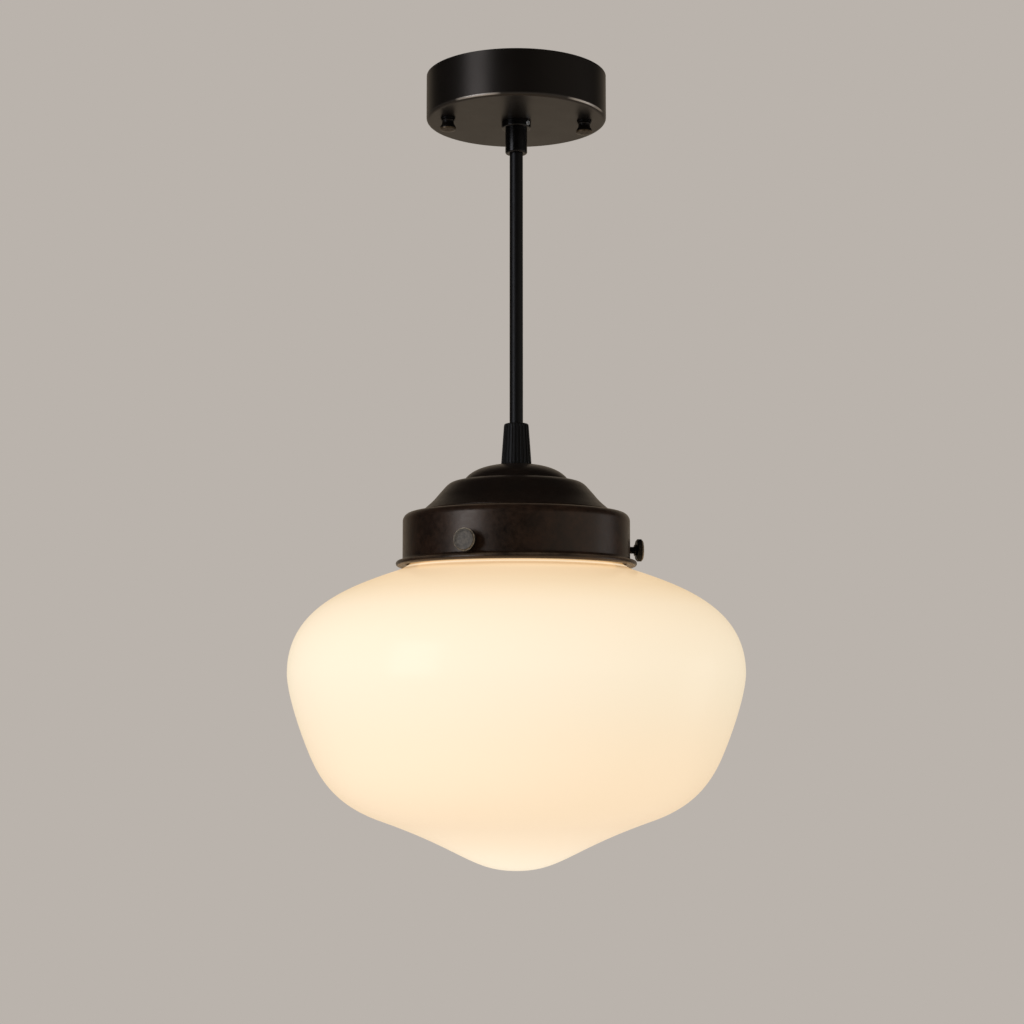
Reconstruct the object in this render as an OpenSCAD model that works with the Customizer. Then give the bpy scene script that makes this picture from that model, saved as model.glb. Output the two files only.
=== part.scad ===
// Pendant light: an opal glass shade in a spun steel holder, hung on its cord from a round canopy.
// Sizes are millimetres. The ceiling is the plane z = 0, the lamp hangs down along -Z, and the
// origin is the middle of the canopy where it meets the ceiling. -Y is the side seen first.

/* [Canopy] */
// Outer diameter of the canopy
canopy_d = 101.6; // [96:0.2:130]
// Depth of the canopy below the ceiling
canopy_h = 26; // [23:0.5:45]
// Thickness of the canopy's drawn steel
canopy_wall = 1; // [0.8:0.1:1.6]
// Radius of the canopy's lower edge
canopy_edge_r = 2; // [1:0.25:6]

/* [Mounting plate] */
// Gap between the canopy's wall and the steel plate that is screwed to the ceiling box
plate_gap = 5.8; // [2:0.1:6.4]
// Thickness of the plate
plate_t = 1.6; // [1.2:0.1:2.4]
// Diameter of the hole for the house wires
wire_hole_d = 22; // [16:1:26]
// Distance between the middles of the two slots for the ceiling box screws
box_slot_span = 65; // [60:1:68]
// End-to-end length of each slot
box_slot_l = 15; // [8:1:16]
// Width of each slot
box_slot_w = 5; // [4.2:0.1:6]
// Thread diameter of the earth screw
ground_d = 3.9; // [3:0.1:4.5]
// Diameter of its head
ground_head_d = 7.2; // [6:0.1:8]
// Height of its head
ground_head_h = 2.2; // [1.5:0.1:3]

/* [Canopy nuts] */
// Distance between the two studs that carry the canopy
stud_span = 77; // [66:0.5:78]
// How far the pair of studs stands in front of the canopy's middle
stud_offset = 5.6; // [0:0.1:7]
// Angle by which the pair is turned from the X axis
stud_turn = 4.5; // [0:0.5:10]
// Thread diameter of the studs and the thumbscrews
stud_d = 4.17; // [3:0.01:5]
// Width across the flats of the locknuts that hold the studs to the plate
stud_nut_flats = 8; // [7:0.5:9]
// Height of those locknuts
stud_nut_h = 3.2; // [2:0.1:4]
// Diameter of the loose washer under each nut
nut_washer_d = 8.3; // [7.6:0.1:12]
// Thickness of that washer
nut_washer_t = 1.1; // [0.6:0.1:2]
// Diameter of the nut's waist
nut_waist_d = 6.6; // [6.2:0.1:8]
// Diameter of the nut's flared head
nut_head_d = 9; // [8.4:0.1:14]
// Length of the nut without its domed end
nut_h = 5.8; // [5.4:0.1:10]
// Height of the domed end
nut_dome_h = 0.9; // [0.4:0.1:2]
// Depth of the threaded hole in the nut
nut_thread_depth = 5; // [4:0.1:5.2]

/* [Canopy cord grip] */
// Diameter of the collar that bears on the canopy
collar_d = 16.7; // [14:0.1:24]
// Height of the collar
collar_h = 3.6; // [3.4:0.1:8]
// Diameter of the smooth body below the collar
grip_d = 12.4; // [11:0.1:13.6]
// Length of the body below the collar
grip_h = 14.7; // [10:0.1:30]
// Diameter of the side screw that pinches the cord
pinch_screw_d = 2.4; // [2:0.1:3]
// How far the side screw stands out of the collar
pinch_screw_out = 0.7; // [0.3:0.1:2]
// Direction of the side screw, counted from +X towards -Y
pinch_screw_turn = 40; // [0:1:90]

/* [Cord] */
// Diameter of the round cord
cord_d = 7.5; // [7:0.1:8]
// Diameter of each insulated wire inside it
wire_d = 2.2; // [1.6:0.1:2.4]
// How far the cord may swing each way about each of its two bends
swing_max = 40; // [15:1:45]

/* [Wire connectors] */
// Outer diameter of each connector at its mouth
connector_d = 9.6; // [8:0.1:11]
// Length of each connector
connector_l = 15; // [13:0.5:17]
// Wall at the mouth
connector_wall = 1.2; // [0.8:0.1:1.6]

/* [Lower cord grip] */
// Diameter at the top
low_grip_top_d = 13.7; // [12.4:0.1:16]
// Diameter at the bottom
low_grip_foot_d = 17; // [14:0.1:20]
// Length
low_grip_h = 23.3; // [18:0.1:34]
// Number of moulded ribs
rib_count = 24; // [12:1:30]
// Depth of the grooves between the ribs
rib_depth = 0.5; // [0.2:0.05:0.8]

/* [Threaded tube and its nuts] */
// Wall of the tube, out to its thread, which the upper cord grip's shank has too
tube_wall = 0.85; // [0.6:0.05:1.2]
// Gap between the tube and the cord that passes through it
tube_gap = 0.26; // [0.15:0.01:0.5]
// Depth to which the tube is screwed into the lower cord grip
tube_in_grip = 8; // [5:0.5:12]
// Width across the flats of the two locknuts on this thread
locknut_flats = 14; // [13:0.5:18]
// Thickness of those locknuts
locknut_h = 3; // [2:0.25:5]
// Diameter of the washers under them
washer_d = 18; // [15:0.5:24]
// Thickness of those washers
washer_t = 0.8; // [0.5:0.1:1.5]

/* [Holder] */
// Thickness of the holder's spun steel
holder_wall = 1; // [0.8:0.1:1.4]
// How far the flat seat reaches past the cord grip that stands on it
seat_margin = 0.5; // [0:0.1:3]
// Diameter of the upper dome at its crease
dome_d = 58.5; // [52:0.5:60]
// Height of the upper dome
dome_h = 9.2; // [7:0.1:14]
// Width of the shoulder, from the crease under the bell to the outside of the band
shoulder_w = 10.75; // [8:0.25:14]
// Height of the bell
bell_h = 19.2; // [14:0.1:28]
// Height of the crease under the bell
crease_h = 1.4; // [0.6:0.1:2]
// Outer diameter of the straight band
band_d = 126; // [124:0.25:134]
// Height of the band, from its shoulder to the lip
band_h = 25.5; // [24:0.1:40]
// Radius of the shoulder's edge
band_edge_r = 4.75; // [1.5:0.25:6]
// How far the rolled lip stands out from the band
lip_out = 3.7; // [2.5:0.1:8]
// Thickness of the rolled lip
lip_t = 2.5; // [2:0.1:4]

/* [Thumbscrews] */
// Height of the thumbscrews above the underside of the lip
screw_up = 9.5; // [9:0.25:14]
// Diameter of the round head
head_d = 12.5; // [9:0.25:16]
// Thickness of the head
head_t = 3.6; // [2:0.1:6]
// Gap between the band and the head when the shade is held
head_gap = 4.5; // [4.4:0.1:9]
// Pitch of the thread on the thumbscrews and the canopy's studs
thread_pitch = 0.794; // [0.5:0.001:1]
// Diameter of the nylon tip
tip_d = 3.9; // [2.4:0.05:4]
// Length of the nylon tip
tip_l = 1.5; // [1:0.1:2]
// Gap between the tip and the neck of the glass
tip_gap = 0.5; // [0.3:0.1:1]
// How far the tapped collar stands in from the band
tap_collar_h = 1.2; // [0.5:0.1:2]
// Diameter of that collar
tap_collar_d = 7; // [5.6:0.1:9]
// Number of knurls round the head
knurl_count = 36; // [24:1:48]
// Depth of the knurls
knurl_depth = 0.25; // [0.1:0.05:0.4]

/* [Glass shade] */
// Wall of the glass
glass_wall = 2.8; // [2:0.1:4]
// Gap between the flared rim and the inside of the holder's band
rim_gap = 2.5; // [1.8:0.1:3.4]
// Gap between the neck under the rim and the inside of the band
neck_gap = 5.5; // [5:0.1:6.5]
// Height of the flared rim
rim_h = 7.8; // [4:0.1:9]
// Largest diameter of the glass
glass_d = 251.4; // [200:0.2:300]
// Depth of the widest ring below the holder's lip
belly_drop = 55.5; // [45:0.5:80]
// Diameter where the side turns in
corner_d = 225.2; // [170:0.2:260]
// Depth of that turn below the holder's lip
corner_drop = 105.5; // [90:0.5:150]
// Diameter of the hollow above the tip
hollow_d = 153; // [100:0.5:170]
// Depth of the hollow below the holder's lip
hollow_drop = 138; // [125:0.5:200]
// Depth of the tip below the holder's lip
tip_drop = 166.4; // [155:0.2:240]

/* [Lampholder] */
// Wall of the lampholder's body, round the bore for the lamp
socket_wall = 5.35; // [4.5:0.05:8]
// Length of the lampholder's body
socket_h = 41; // [38:0.5:50]
// Wall of the lampholder's cap
socket_cap_wall = 1.5; // [1:0.1:2.5]
// Height of the lampholder's cap
socket_cap_h = 17; // [16:0.5:24]
// Thickness of the ceramic block with the terminals
block_h = 7.4; // [6:0.2:9]
// Thread diameter of the terminal screws
terminal_d = 3.4; // [2.6:0.1:4]
// Diameter of their heads
terminal_head_d = 6; // [5:0.1:7]
// Outer diameter of the lamp's screw cap
lamp_cap_d = 26.3; // [25:0.05:26.5]
// Sheet thickness of the lampholder's screw shell
shell_wall = 0.4; // [0.3:0.05:0.6]
// Length of the screw shell
shell_h = 25.4; // [20:0.2:28]

/* [Lamp] */
// Diameter of the lamp's globe
globe_d = 60; // [45:1:80]
// Length of the lamp from its contact to its end
lamp_l = 108; // [100:1:130]
// Length of the lamp's screw cap with its contact
lamp_cap_l = 27.5; // [26:0.5:32]
// Wall of the lamp's housing
housing_wall = 1.6; // [1:0.1:2.5]
// Wall of the lamp's globe
globe_wall = 1.2; // [0.8:0.1:2]

/* [Hidden] */
$fn = 96;

// Clearances: threads and shafts that turn, parts that slip over each other, parts that only
// face each other, and bodies that move past each other
run_gap = 0.05;
slip_gap = 0.1;
face_gap = 0.1;
body_gap = 0.3;
// Holes that a thread passes through freely
free_gap = 0.25;
// Length by which a cut runs past a face
past = 1;

canopy_r = canopy_d / 2;
canopy_in_r = canopy_r - canopy_wall;
plate_r = canopy_in_r - plate_gap;
canopy_floor_z = canopy_wall - canopy_h;
cord_r = cord_d / 2;
tube_r = cord_r + tube_gap + tube_wall;
wire_r = wire_d / 2;
stud_r = stud_d / 2;
ground_r = ground_d / 2;
// The earth screw stands halfway between the wire hole and one of the slots
ground_y = (wire_hole_d / 2 + (box_slot_span - box_slot_l) / 2) / 2;

// The cord's free stretch, from under its bends straight down to the lower grip, counted from
// the mouth of the upper grip
cord_route = [
    [0, 0, -24], [0, 0, -32], [0, 0, -40], [0, 0, -48], [0, 0, -57], [0, 0, -66], [0, 0, -75],
    [0, 0, -84], [0, 0, -93], [0, 0, -102], [0, 0, -111], [0, 0, -120], [0, 0, -130],
    [0, 0, -142], [0, 0, -154]
];
cord_sides = 12;
// Each bend is a round cord end in a cup; the drops are counted from the mouth of the upper grip
first_bend_drop = 8;
second_bend_drop = 24;
// The cup's mouth lies this far from the bend's axis, so that the swung end clears it
cup_mouth = cord_r * sin(swing_max) + body_gap;

mouth_z = -(canopy_h + collar_h + grip_h);
first_bend_z = mouth_z - first_bend_drop;
second_bend_z = mouth_z - second_bend_drop;
cord_end_z = mouth_z + cord_route[len(cord_route) - 1][2];
seat_z = cord_end_z - low_grip_h;
dome_foot_z = seat_z - dome_h;
bell_foot_z = dome_foot_z - bell_h;
band_foot_z = bell_foot_z - band_h;
lip_z = band_foot_z - lip_t;
screw_z = lip_z + screw_up;

// Inside the canopy: the grip's shank ends above its nut, and the sheath a little above that
shank_top_z = canopy_floor_z + washer_t + locknut_h + 5;
sheath_top_z = shank_top_z + 2;

band_r = band_d / 2;
band_in_r = band_r - holder_wall;
lip_r = band_r + lip_out;
neck_r = band_in_r - neck_gap;
rim_r = band_in_r - rim_gap;
tip_face_r = neck_r + tip_gap;
tip_end_r = tip_face_r + tip_l;
head_in_r = band_r + head_gap;
rim_foot_z = screw_z + tip_d / 2 + body_gap;
rim_top_z = rim_foot_z + rim_h;
// Directions of the three thumbscrews, 120 degrees apart, counted from +X towards +Y
screw_turns = [-113, 7, 127];

// Depths inside the holder, from its washer down to the lamp
holder_washer_z = seat_z - holder_wall;
holder_nut_z = holder_washer_z - washer_t;
socket_top_z = holder_nut_z - locknut_h - body_gap;
block_top_z = socket_top_z - socket_cap_h;
block_foot_z = block_top_z - block_h;
socket_foot_z = block_top_z - socket_h;
terminal_r = terminal_d / 2;
lamp_cap_r = lamp_cap_d / 2;
lamp_skirt_r = lamp_cap_r + 0.4;
shell_in_r = lamp_cap_r + body_gap;
shell_r = shell_in_r + shell_wall;
bore_r = shell_r + body_gap;
socket_r = bore_r + socket_wall;
terminal_x = socket_r / 2;
contact_t = 0.5;
contact_z = block_foot_z - 2;
rivet_r = 1.6;
lamp_top_z = contact_z - contact_t - body_gap;
lamp_button_t = 1.5;
insulator_foot_z = lamp_top_z - lamp_button_t - 4.4;
lamp_skirt_z = lamp_top_z - lamp_cap_l;
lamp_cap_wall = 0.5;
globe_r = globe_d / 2;
globe_mid_z = lamp_top_z - lamp_l + globe_r;
tail_end_z = socket_top_z - 8;

black_steel = [0.11, 0.1, 0.09];
bronze_steel = [0.16, 0.13, 0.11];
black_plastic = [0.06, 0.06, 0.06];
zinc = [0.75, 0.76, 0.77];
brass = [0.75, 0.6, 0.3];
opal = [0.98, 0.92, 0.8];
ceramic = [0.9, 0.89, 0.85];
earth_green = [0.22, 0.5, 0.25];

// Points on a circle about [x, y], from one angle to another
function arc(x, y, r, from, to, steps = 6) =
    [for (i = [0 : steps]) [x, y] + r * heading(from + (to - from) * i / steps)];

// Points on a smooth curve that leaves a towards b and reaches d from c, without a itself
function curve(a, b, c, d, steps = 12) =
    [for (i = [1 : steps]) let (t = i / steps, s = 1 - t)
        a * s * s * s + b * 3 * t * s * s + c * 3 * t * t * s + d * t * t * t];

// The same between two points with the direction of travel at each, and with the share of their
// distance over which each direction pulls
function bend(a, angle_a, pull_a, b, angle_b, pull_b, steps = 12) =
    let (l = norm(b - a))
    curve(a, a + pull_a * l * heading(angle_a), b - pull_b * l * heading(angle_b), b, steps);

function unit(v) = v / norm(v);
function heading(angle) = [cos(angle), sin(angle)];
function reverse(list) = [for (i = [len(list) - 1 : -1 : 0]) list[i]];

// The path moved sideways by t, to the right of its own direction, with mitred corners
function inset(path, t) =
    let (n = len(path))
    [for (i = [0 : n - 1])
        let (
            into = unit(path[max(i, 1)] - path[max(i, 1) - 1]),
            out = unit(path[min(i + 1, n - 1)] - path[min(i + 1, n - 1) - 1]),
            side_in = [into[1], -into[0]],
            side_out = [out[1], -out[0]],
            side = unit(side_in + side_out)
        )
        path[i] + side * t / max(side * side_in, 0.5)];

// A round tube swept along points in space; across is a direction that no stretch runs along
module swept(points, r, sides, across = [1, 0, 0]) {
    n = len(points);
    rings = [for (i = [0 : n - 1])
        let (
            ahead = unit(points[min(i + 1, n - 1)] - points[max(i - 1, 0)]),
            u = unit(cross(ahead, across)),
            v = cross(ahead, u)
        )
        for (k = [0 : sides - 1])
            points[i] + r * (u * cos(360 * k / sides) + v * sin(360 * k / sides))];
    walls = [for (i = [0 : n - 2], k = [0 : sides - 1])
        let (a = i * sides + k, b = i * sides + (k + 1) % sides)
        each [[a, a + sides, b], [b, a + sides, b + sides]]];
    first_cap = [for (k = [0 : sides - 1]) k];
    last_cap = [for (k = [sides - 1 : -1 : 0]) (n - 1) * sides + k];
    polyhedron(rings, concat([first_cap, last_cap], walls));
}

// A round hole, cut a little past both of its ends
module hole(r, top_z, foot_z) {
    translate([0, 0, foot_z - past])
        cylinder(h = top_z - foot_z + 2 * past, r = r);
}

// A round piece between two heights, with a hole where in_r is given
module ring(r, top_z, foot_z, in_r = 0) {
    difference() {
        translate([0, 0, foot_z])
            cylinder(h = top_z - foot_z, r = r);
        if (in_r > 0)
            hole(in_r, top_z, foot_z);
    }
}

module hex_nut(flats, top_z, foot_z, in_r) {
    difference() {
        translate([0, 0, foot_z])
            cylinder(h = top_z - foot_z, d = flats / cos(30), $fn = 6);
        hole(in_r, top_z, foot_z);
    }
}

// Puts a piece at the stud on one side: -1 is the left one and 1 the right one
module at_stud(side) {
    translate([0, -stud_offset, 0])
        rotate([0, 0, stud_turn])
            translate([side * stud_span / 2, 0, 0])
                children();
}

// Lays a piece that is drawn along +Z from the lamp's axis outwards along a thumbscrew
module at_thumbscrew(turn) {
    translate([0, 0, screw_z])
        rotate([0, 90, turn])
            children();
}

// Round plate with the wire hole, two slots for the ceiling box screws, and tapped holes
module mounting_plate() {
    color(zinc) difference() {
        ring(plate_r, 0, -plate_t, wire_hole_d / 2);
        for (side = [-1, 1]) {
            at_stud(side) hole(stud_r + run_gap, 0, -plate_t);
            translate([0, side * box_slot_span / 2, 0]) box_slot();
        }
        translate([0, ground_y, 0]) hole(ground_r + run_gap, 0, -plate_t);
    }
}

module box_slot() {
    reach = (box_slot_l - box_slot_w) / 2;
    for (end = [-1, 1])
        translate([0, end * reach, 0]) hole(box_slot_w / 2, 0, -plate_t);
    translate([-box_slot_w / 2, -reach, -plate_t - past])
        cube([box_slot_w, 2 * reach, plate_t + 2 * past]);
}

// Studs screwed into the plate; they end just short of the bottom of the nuts' threaded holes
module plate_studs() {
    stud_foot_z = -canopy_h - nut_washer_t - nut_thread_depth + body_gap;
    color(zinc) for (side = [-1, 1])
        at_stud(side) ring(stud_r, 0, stud_foot_z);
}

module stud_locknuts() {
    top_z = -plate_t - face_gap;
    color(zinc) for (side = [-1, 1])
        at_stud(side) hex_nut(stud_nut_flats, top_z, top_z - stud_nut_h, stud_r + run_gap);
}

module ground_screw() {
    head_top_z = -plate_t - face_gap;
    head_foot_z = head_top_z - ground_head_h;
    slot_w = 1;
    slot_depth = 1;
    color(earth_green) translate([0, ground_y, 0]) difference() {
        union() {
            ring(ground_r, 0, head_top_z);
            ring(ground_head_d / 2, head_top_z, head_foot_z);
        }
        translate([-ground_head_d, -slot_w / 2, head_foot_z - past])
            cube([2 * ground_head_d, slot_w, slot_depth + past]);
    }
}

// Drawn cup with a flat floor, a rounded edge, and holes for the cord grip and the two studs
module canopy() {
    in_edge_r = max(canopy_edge_r - canopy_wall, 0.3);
    cup = concat(
        [[0, -canopy_h]],
        arc(canopy_r - canopy_edge_r, canopy_edge_r - canopy_h, canopy_edge_r, -90, 0),
        [[canopy_r, 0], [canopy_in_r, 0]],
        arc(canopy_in_r - in_edge_r, canopy_floor_z + in_edge_r, in_edge_r, 0, -90),
        [[0, canopy_floor_z]]
    );
    color(black_steel) difference() {
        rotate_extrude() polygon(cup);
        hole(tube_r + free_gap, canopy_floor_z, -canopy_h);
        for (side = [-1, 1])
            at_stud(side) hole(stud_r + free_gap, canopy_floor_z, -canopy_h);
    }
}

// Cord grip under the canopy: a threaded shank through the canopy, a collar and a long smooth body
module canopy_grip() {
    collar_top_z = -canopy_h - face_gap;
    collar_foot_z = collar_top_z - collar_h;
    collar_edge_r = 0.8;
    grip_edge_r = 1;
    collar_r = collar_d / 2;
    grip_r = grip_d / 2;
    shape = concat(
        [[0, mouth_z]],
        arc(grip_r - grip_edge_r, mouth_z + grip_edge_r, grip_edge_r, -90, 0),
        [[grip_r, collar_foot_z]],
        arc(collar_r - collar_edge_r, collar_foot_z + collar_edge_r, collar_edge_r, -90, 0),
        [[collar_r, collar_top_z], [tube_r, collar_top_z], [tube_r, shank_top_z], [0, shank_top_z]]
    );
    color(black_plastic) difference() {
        rotate_extrude() polygon(shape);
        hole(cord_r + slip_gap, shank_top_z, mouth_z);
        at_pinch_screw() cylinder(h = collar_d, r = pinch_screw_d / 2 + run_gap);
    }
}

// The side screw lies in the middle of the collar's height
module at_pinch_screw() {
    translate([0, 0, -canopy_h - face_gap - collar_h / 2])
        rotate([0, 90, -pinch_screw_turn])
            children();
}

module grip_side_screw() {
    inner_end = cord_r + slip_gap;
    length = collar_d / 2 + pinch_screw_out - inner_end;
    key_flats = 1.2;
    key_depth = 1.2;
    color(zinc) at_pinch_screw() translate([0, 0, inner_end]) difference() {
        cylinder(h = length, d = pinch_screw_d);
        translate([0, 0, length - key_depth])
            cylinder(h = key_depth + past, d = key_flats / cos(30), $fn = 6);
    }
}

// Lock washer with teeth pressed out of its edge, on the canopy's floor
module grip_toothed_washer() {
    teeth = 12;
    tooth_depth = 1.2;
    root_turn = 0.35;
    outline = [for (i = [0 : 4 * teeth - 1])
        let (tip = i % 4 < 2, a = 360 * (i + (tip ? 0 : root_turn)) / (4 * teeth))
        (washer_d / 2 - (tip ? 0 : tooth_depth)) * heading(a)];
    color(zinc) translate([0, 0, canopy_floor_z + face_gap]) difference() {
        linear_extrude(washer_t - face_gap) polygon(outline);
        hole(tube_r + slip_gap, washer_t, 0);
    }
}

module grip_locknut() {
    foot_z = canopy_floor_z + washer_t + face_gap;
    color(zinc) hex_nut(locknut_flats, foot_z + locknut_h, foot_z, tube_r + run_gap);
}

// The round end of a stretch of cord at a bend, or with r a little larger the cup for it; the
// bend's axis lies along X, or along Y where turned is 90
module bend_end(r, turned) {
    rotate([0, 90, turned])
        translate([0, 0, -cord_d])
            cylinder(h = 2 * cord_d, r = r);
}

// Cuts the cup into the end of a stretch of cord that lies above its bend, or below it where
// side is -1
module bend_cup(turned, side) {
    bend_end(cord_r + body_gap, turned);
    translate([-cord_d, -cord_d, side > 0 ? cup_mouth - 2 * cord_d : -cup_mouth])
        cube(2 * cord_d);
}

// The fixed upper end of the cord, through the grip, with its sheath cut back inside the canopy
module cord_top() {
    color(black_plastic) difference() {
        ring(cord_r, sheath_top_z, first_bend_z);
        translate([0, 0, first_bend_z]) bend_cup(0, 1);
    }
}

// The short stretch of cord that bends under the grip, with a round end across each way
module cord_bend() {
    color(black_plastic) intersection() {
        ring(cord_r, first_bend_z + cord_r, second_bend_z - cord_r);
        union() {
            ring(cord_d, first_bend_z, second_bend_z);
            translate([0, 0, first_bend_z]) bend_end(cord_r, 0);
            translate([0, 0, second_bend_z]) bend_end(cord_r, 90);
        }
    }
}

// The free stretch down to the lower grip
module cord() {
    color(black_plastic) difference() {
        translate([0, 0, mouth_z]) swept(cord_route, cord_r, cord_sides);
        translate([0, 0, second_bend_z]) bend_cup(90, -1);
    }
}

// Wires: each leaves the sheath beside the others and runs outwards in its own direction. The
// routes are pairs of distance from the lamp's axis and height.
wire_start_r = cord_r - wire_r - 0.4;
wire_sides = 8;
connector_turns = [15, 165];
connector_start_r = 20;
connector_z = -11;
wire_rise = [[wire_start_r, sheath_top_z], [wire_start_r, sheath_top_z + 1.4]];
supply_route = concat(wire_rise, [
    [3.2, -9.9], [5.6, -8.2], [9, -8], [13.5, -9.2], [17, -10.6],
    [connector_start_r, connector_z], [connector_start_r + 6, connector_z]
]);
earth_z = -plate_t - face_gap - ground_head_h / 2 - 0.5;
earth_route = concat(wire_rise, [
    [3, -9.4], [4.8, -6.8], [8, -4.4], [11, earth_z],
    [ground_y - ground_head_d / 2 - slip_gap, earth_z]
]);
function fan(route, turn) = [for (p = route) [p[0] * cos(turn), p[0] * sin(turn), p[1]]];

module wire_live() {
    color([0.12, 0.1, 0.1]) swept(fan(supply_route, connector_turns[0]), wire_r, wire_sides, [0, 1, 0]);
}

module wire_neutral() {
    color([0.85, 0.85, 0.82]) swept(fan(supply_route, connector_turns[1]), wire_r, wire_sides, [0, 1, 0]);
}

module wire_earth() {
    color(earth_green) swept(fan(earth_route, 90), wire_r, wire_sides);
}

// Twist-on connectors, open at the end where the wires go in
module wire_connectors() {
    mouth_r = connector_d / 2;
    skirt_l = 3;
    tail_r = connector_d / 3;
    bore = wire_r + slip_gap;
    bore_l = 8;
    shape = [
        [bore, 0.8], [mouth_r - connector_wall, 0], [mouth_r, 0], [mouth_r, skirt_l - 0.6],
        [mouth_r - 0.5, skirt_l], [tail_r, connector_l - 1], [tail_r - 1, connector_l], [0, connector_l],
        [0, bore_l + 5], [bore, bore_l]
    ];
    color([0.85, 0.45, 0.12]) for (turn = connector_turns)
        rotate([0, 0, turn])
            translate([connector_start_r, 0, connector_z])
                rotate([0, 90, 0])
                    rotate_extrude($fn = 48) polygon(shape);
}

module nut_washer(side) {
    color(black_steel) at_stud(side)
        ring(nut_washer_d / 2, -canopy_h - face_gap, -canopy_h - nut_washer_t, stud_r + slip_gap);
}

// Turned nut: a narrow waist that flares to a wide, slightly domed head
module canopy_nut(side) {
    top_z = -canopy_h - nut_washer_t - face_gap;
    head_z = top_z - nut_h;
    dome_z = head_z - nut_dome_h;
    waist_r = nut_waist_d / 2;
    head_r = nut_head_d / 2;
    foot_r = waist_r + 0.4;
    edge = 0.3;
    waist = [waist_r, top_z - nut_h / 4];
    flare = [head_r, head_z + 1];
    rim = [head_r - edge, head_z];
    shape = concat(
        [[0, top_z], [foot_r, top_z], [waist_r, top_z - 0.8], waist],
        curve(waist, waist - [0, nut_h / 4], flare + [-0.2, nut_h / 4], flare, 6),
        [[head_r, head_z + edge], rim],
        curve(rim, [head_r * 0.7, dome_z + 0.2], [head_r * 0.4, dome_z], [0, dome_z], 6)
    );
    color(black_steel) at_stud(side) difference() {
        rotate_extrude() polygon(shape);
        translate([0, 0, top_z - nut_thread_depth])
            cylinder(h = nut_thread_depth + past, r = stud_r + run_gap);
    }
}

// Moulded grip with straight ribs that widens towards the holder
module lower_grip() {
    foot_r = low_grip_foot_d / 2;
    top_r = low_grip_top_d / 2;
    edge_r = 1;
    top_z = cord_end_z - face_gap;
    foot_z = seat_z + face_gap;
    // Share of one rib's turn, and share of the groove's depth reached there
    groove = [[0.3, 0], [0.42, 1], [0.58, 1], [0.7, 0]];
    outline = [for (i = [0 : rib_count - 1], step = groove)
        (foot_r - rib_depth * step[1]) * heading(360 * (i + step[0]) / rib_count)];
    envelope = concat(
        [[0, foot_z - past], [foot_r + past, foot_z - past], [foot_r + past, top_z - edge_r]],
        [[top_r, top_z - edge_r]],
        arc(top_r - edge_r, top_z - edge_r, edge_r, 0, 90),
        [[0, top_z]]
    );
    color(black_plastic) difference() {
        intersection() {
            translate([0, 0, foot_z])
                linear_extrude(top_z - foot_z, scale = top_r / foot_r) polygon(outline);
            rotate_extrude() polygon(envelope);
        }
        hole(cord_r + slip_gap, top_z, foot_z);
        hole(tube_r + run_gap, seat_z + tube_in_grip - past + face_gap, foot_z);
    }
}

// The cord's lower end, from the mouth of the lower grip into the lampholder's cap
module cord_tail() {
    color(black_plastic) ring(cord_r, cord_end_z, tail_end_z);
}

module threaded_tube() {
    color(zinc) ring(tube_r, seat_z + tube_in_grip, socket_top_z - 5, tube_r - tube_wall);
}

module holder_washer() {
    color(zinc) ring(washer_d / 2, holder_washer_z - face_gap, holder_nut_z, tube_r + slip_gap);
}

module holder_locknut() {
    color(zinc) hex_nut(locknut_flats, holder_nut_z - face_gap, holder_nut_z - locknut_h, tube_r + run_gap);
}

// The spun holder: a low dome, a bell, a straight band and a rolled lip, all one sheet of steel
module holder() {
    dome_r = dome_d / 2;
    bell_r = band_r - shoulder_w;
    shoulder_r = band_r - band_edge_r;
    bend_r = 1.4;
    seat = [low_grip_foot_d / 2 + seat_margin, seat_z];
    dome_foot = [dome_r, dome_foot_z];
    bell_top = [dome_r + 1, dome_foot_z - 0.1];
    bell_waist = [(dome_r + bell_r) / 2 + 1, dome_foot_z - bell_h * 0.34];
    bell_foot = [bell_r, bell_foot_z + crease_h];
    bell_slope = -48.5;
    sheet = concat(
        [[0, seat_z], seat],
        bend(seat, -4, 0.43, dome_foot, -63, 0.26, 8),
        [bell_top],
        bend(bell_top, 0, 0.53, bell_waist, bell_slope, 0.4, 8),
        bend(bell_waist, bell_slope, 0.39, bell_foot, -40, 0.64, 8),
        [[bell_r + 0.6, bell_foot_z]],
        arc(shoulder_r, bell_foot_z - band_edge_r, band_edge_r, 90, 0),
        [[band_r, band_foot_z + bend_r]]
    );
    bead_r = lip_t / 2;
    lip = concat(
        arc(band_r + bend_r, band_foot_z + bend_r, bend_r, 180, 270, 4),
        arc(lip_r - bead_r, lip_z + bead_r, bead_r, 90, -90, 8),
        [[band_r + 0.8, lip_z], [band_in_r, lip_z + 1.6]]
    );
    color(bronze_steel) difference() {
        union() {
            rotate_extrude() polygon(concat(sheet, lip, reverse(inset(sheet, holder_wall))));
            for (turn = screw_turns)
                at_thumbscrew(turn)
                    translate([0, 0, band_in_r - tap_collar_h])
                        cylinder(h = tap_collar_h + holder_wall / 2, d = tap_collar_d);
        }
        hole(tube_r + free_gap, seat_z, seat_z - holder_wall);
        for (turn = screw_turns)
            at_thumbscrew(turn)
                translate([0, 0, neck_r])
                    cylinder(h = band_r - neck_r + past, r = stud_r + run_gap);
    }
}

module screw_tip(turn) {
    color([0.85, 0.83, 0.78]) at_thumbscrew(turn)
        translate([0, 0, tip_face_r])
            cylinder(h = tip_l, d = tip_d);
}

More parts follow.
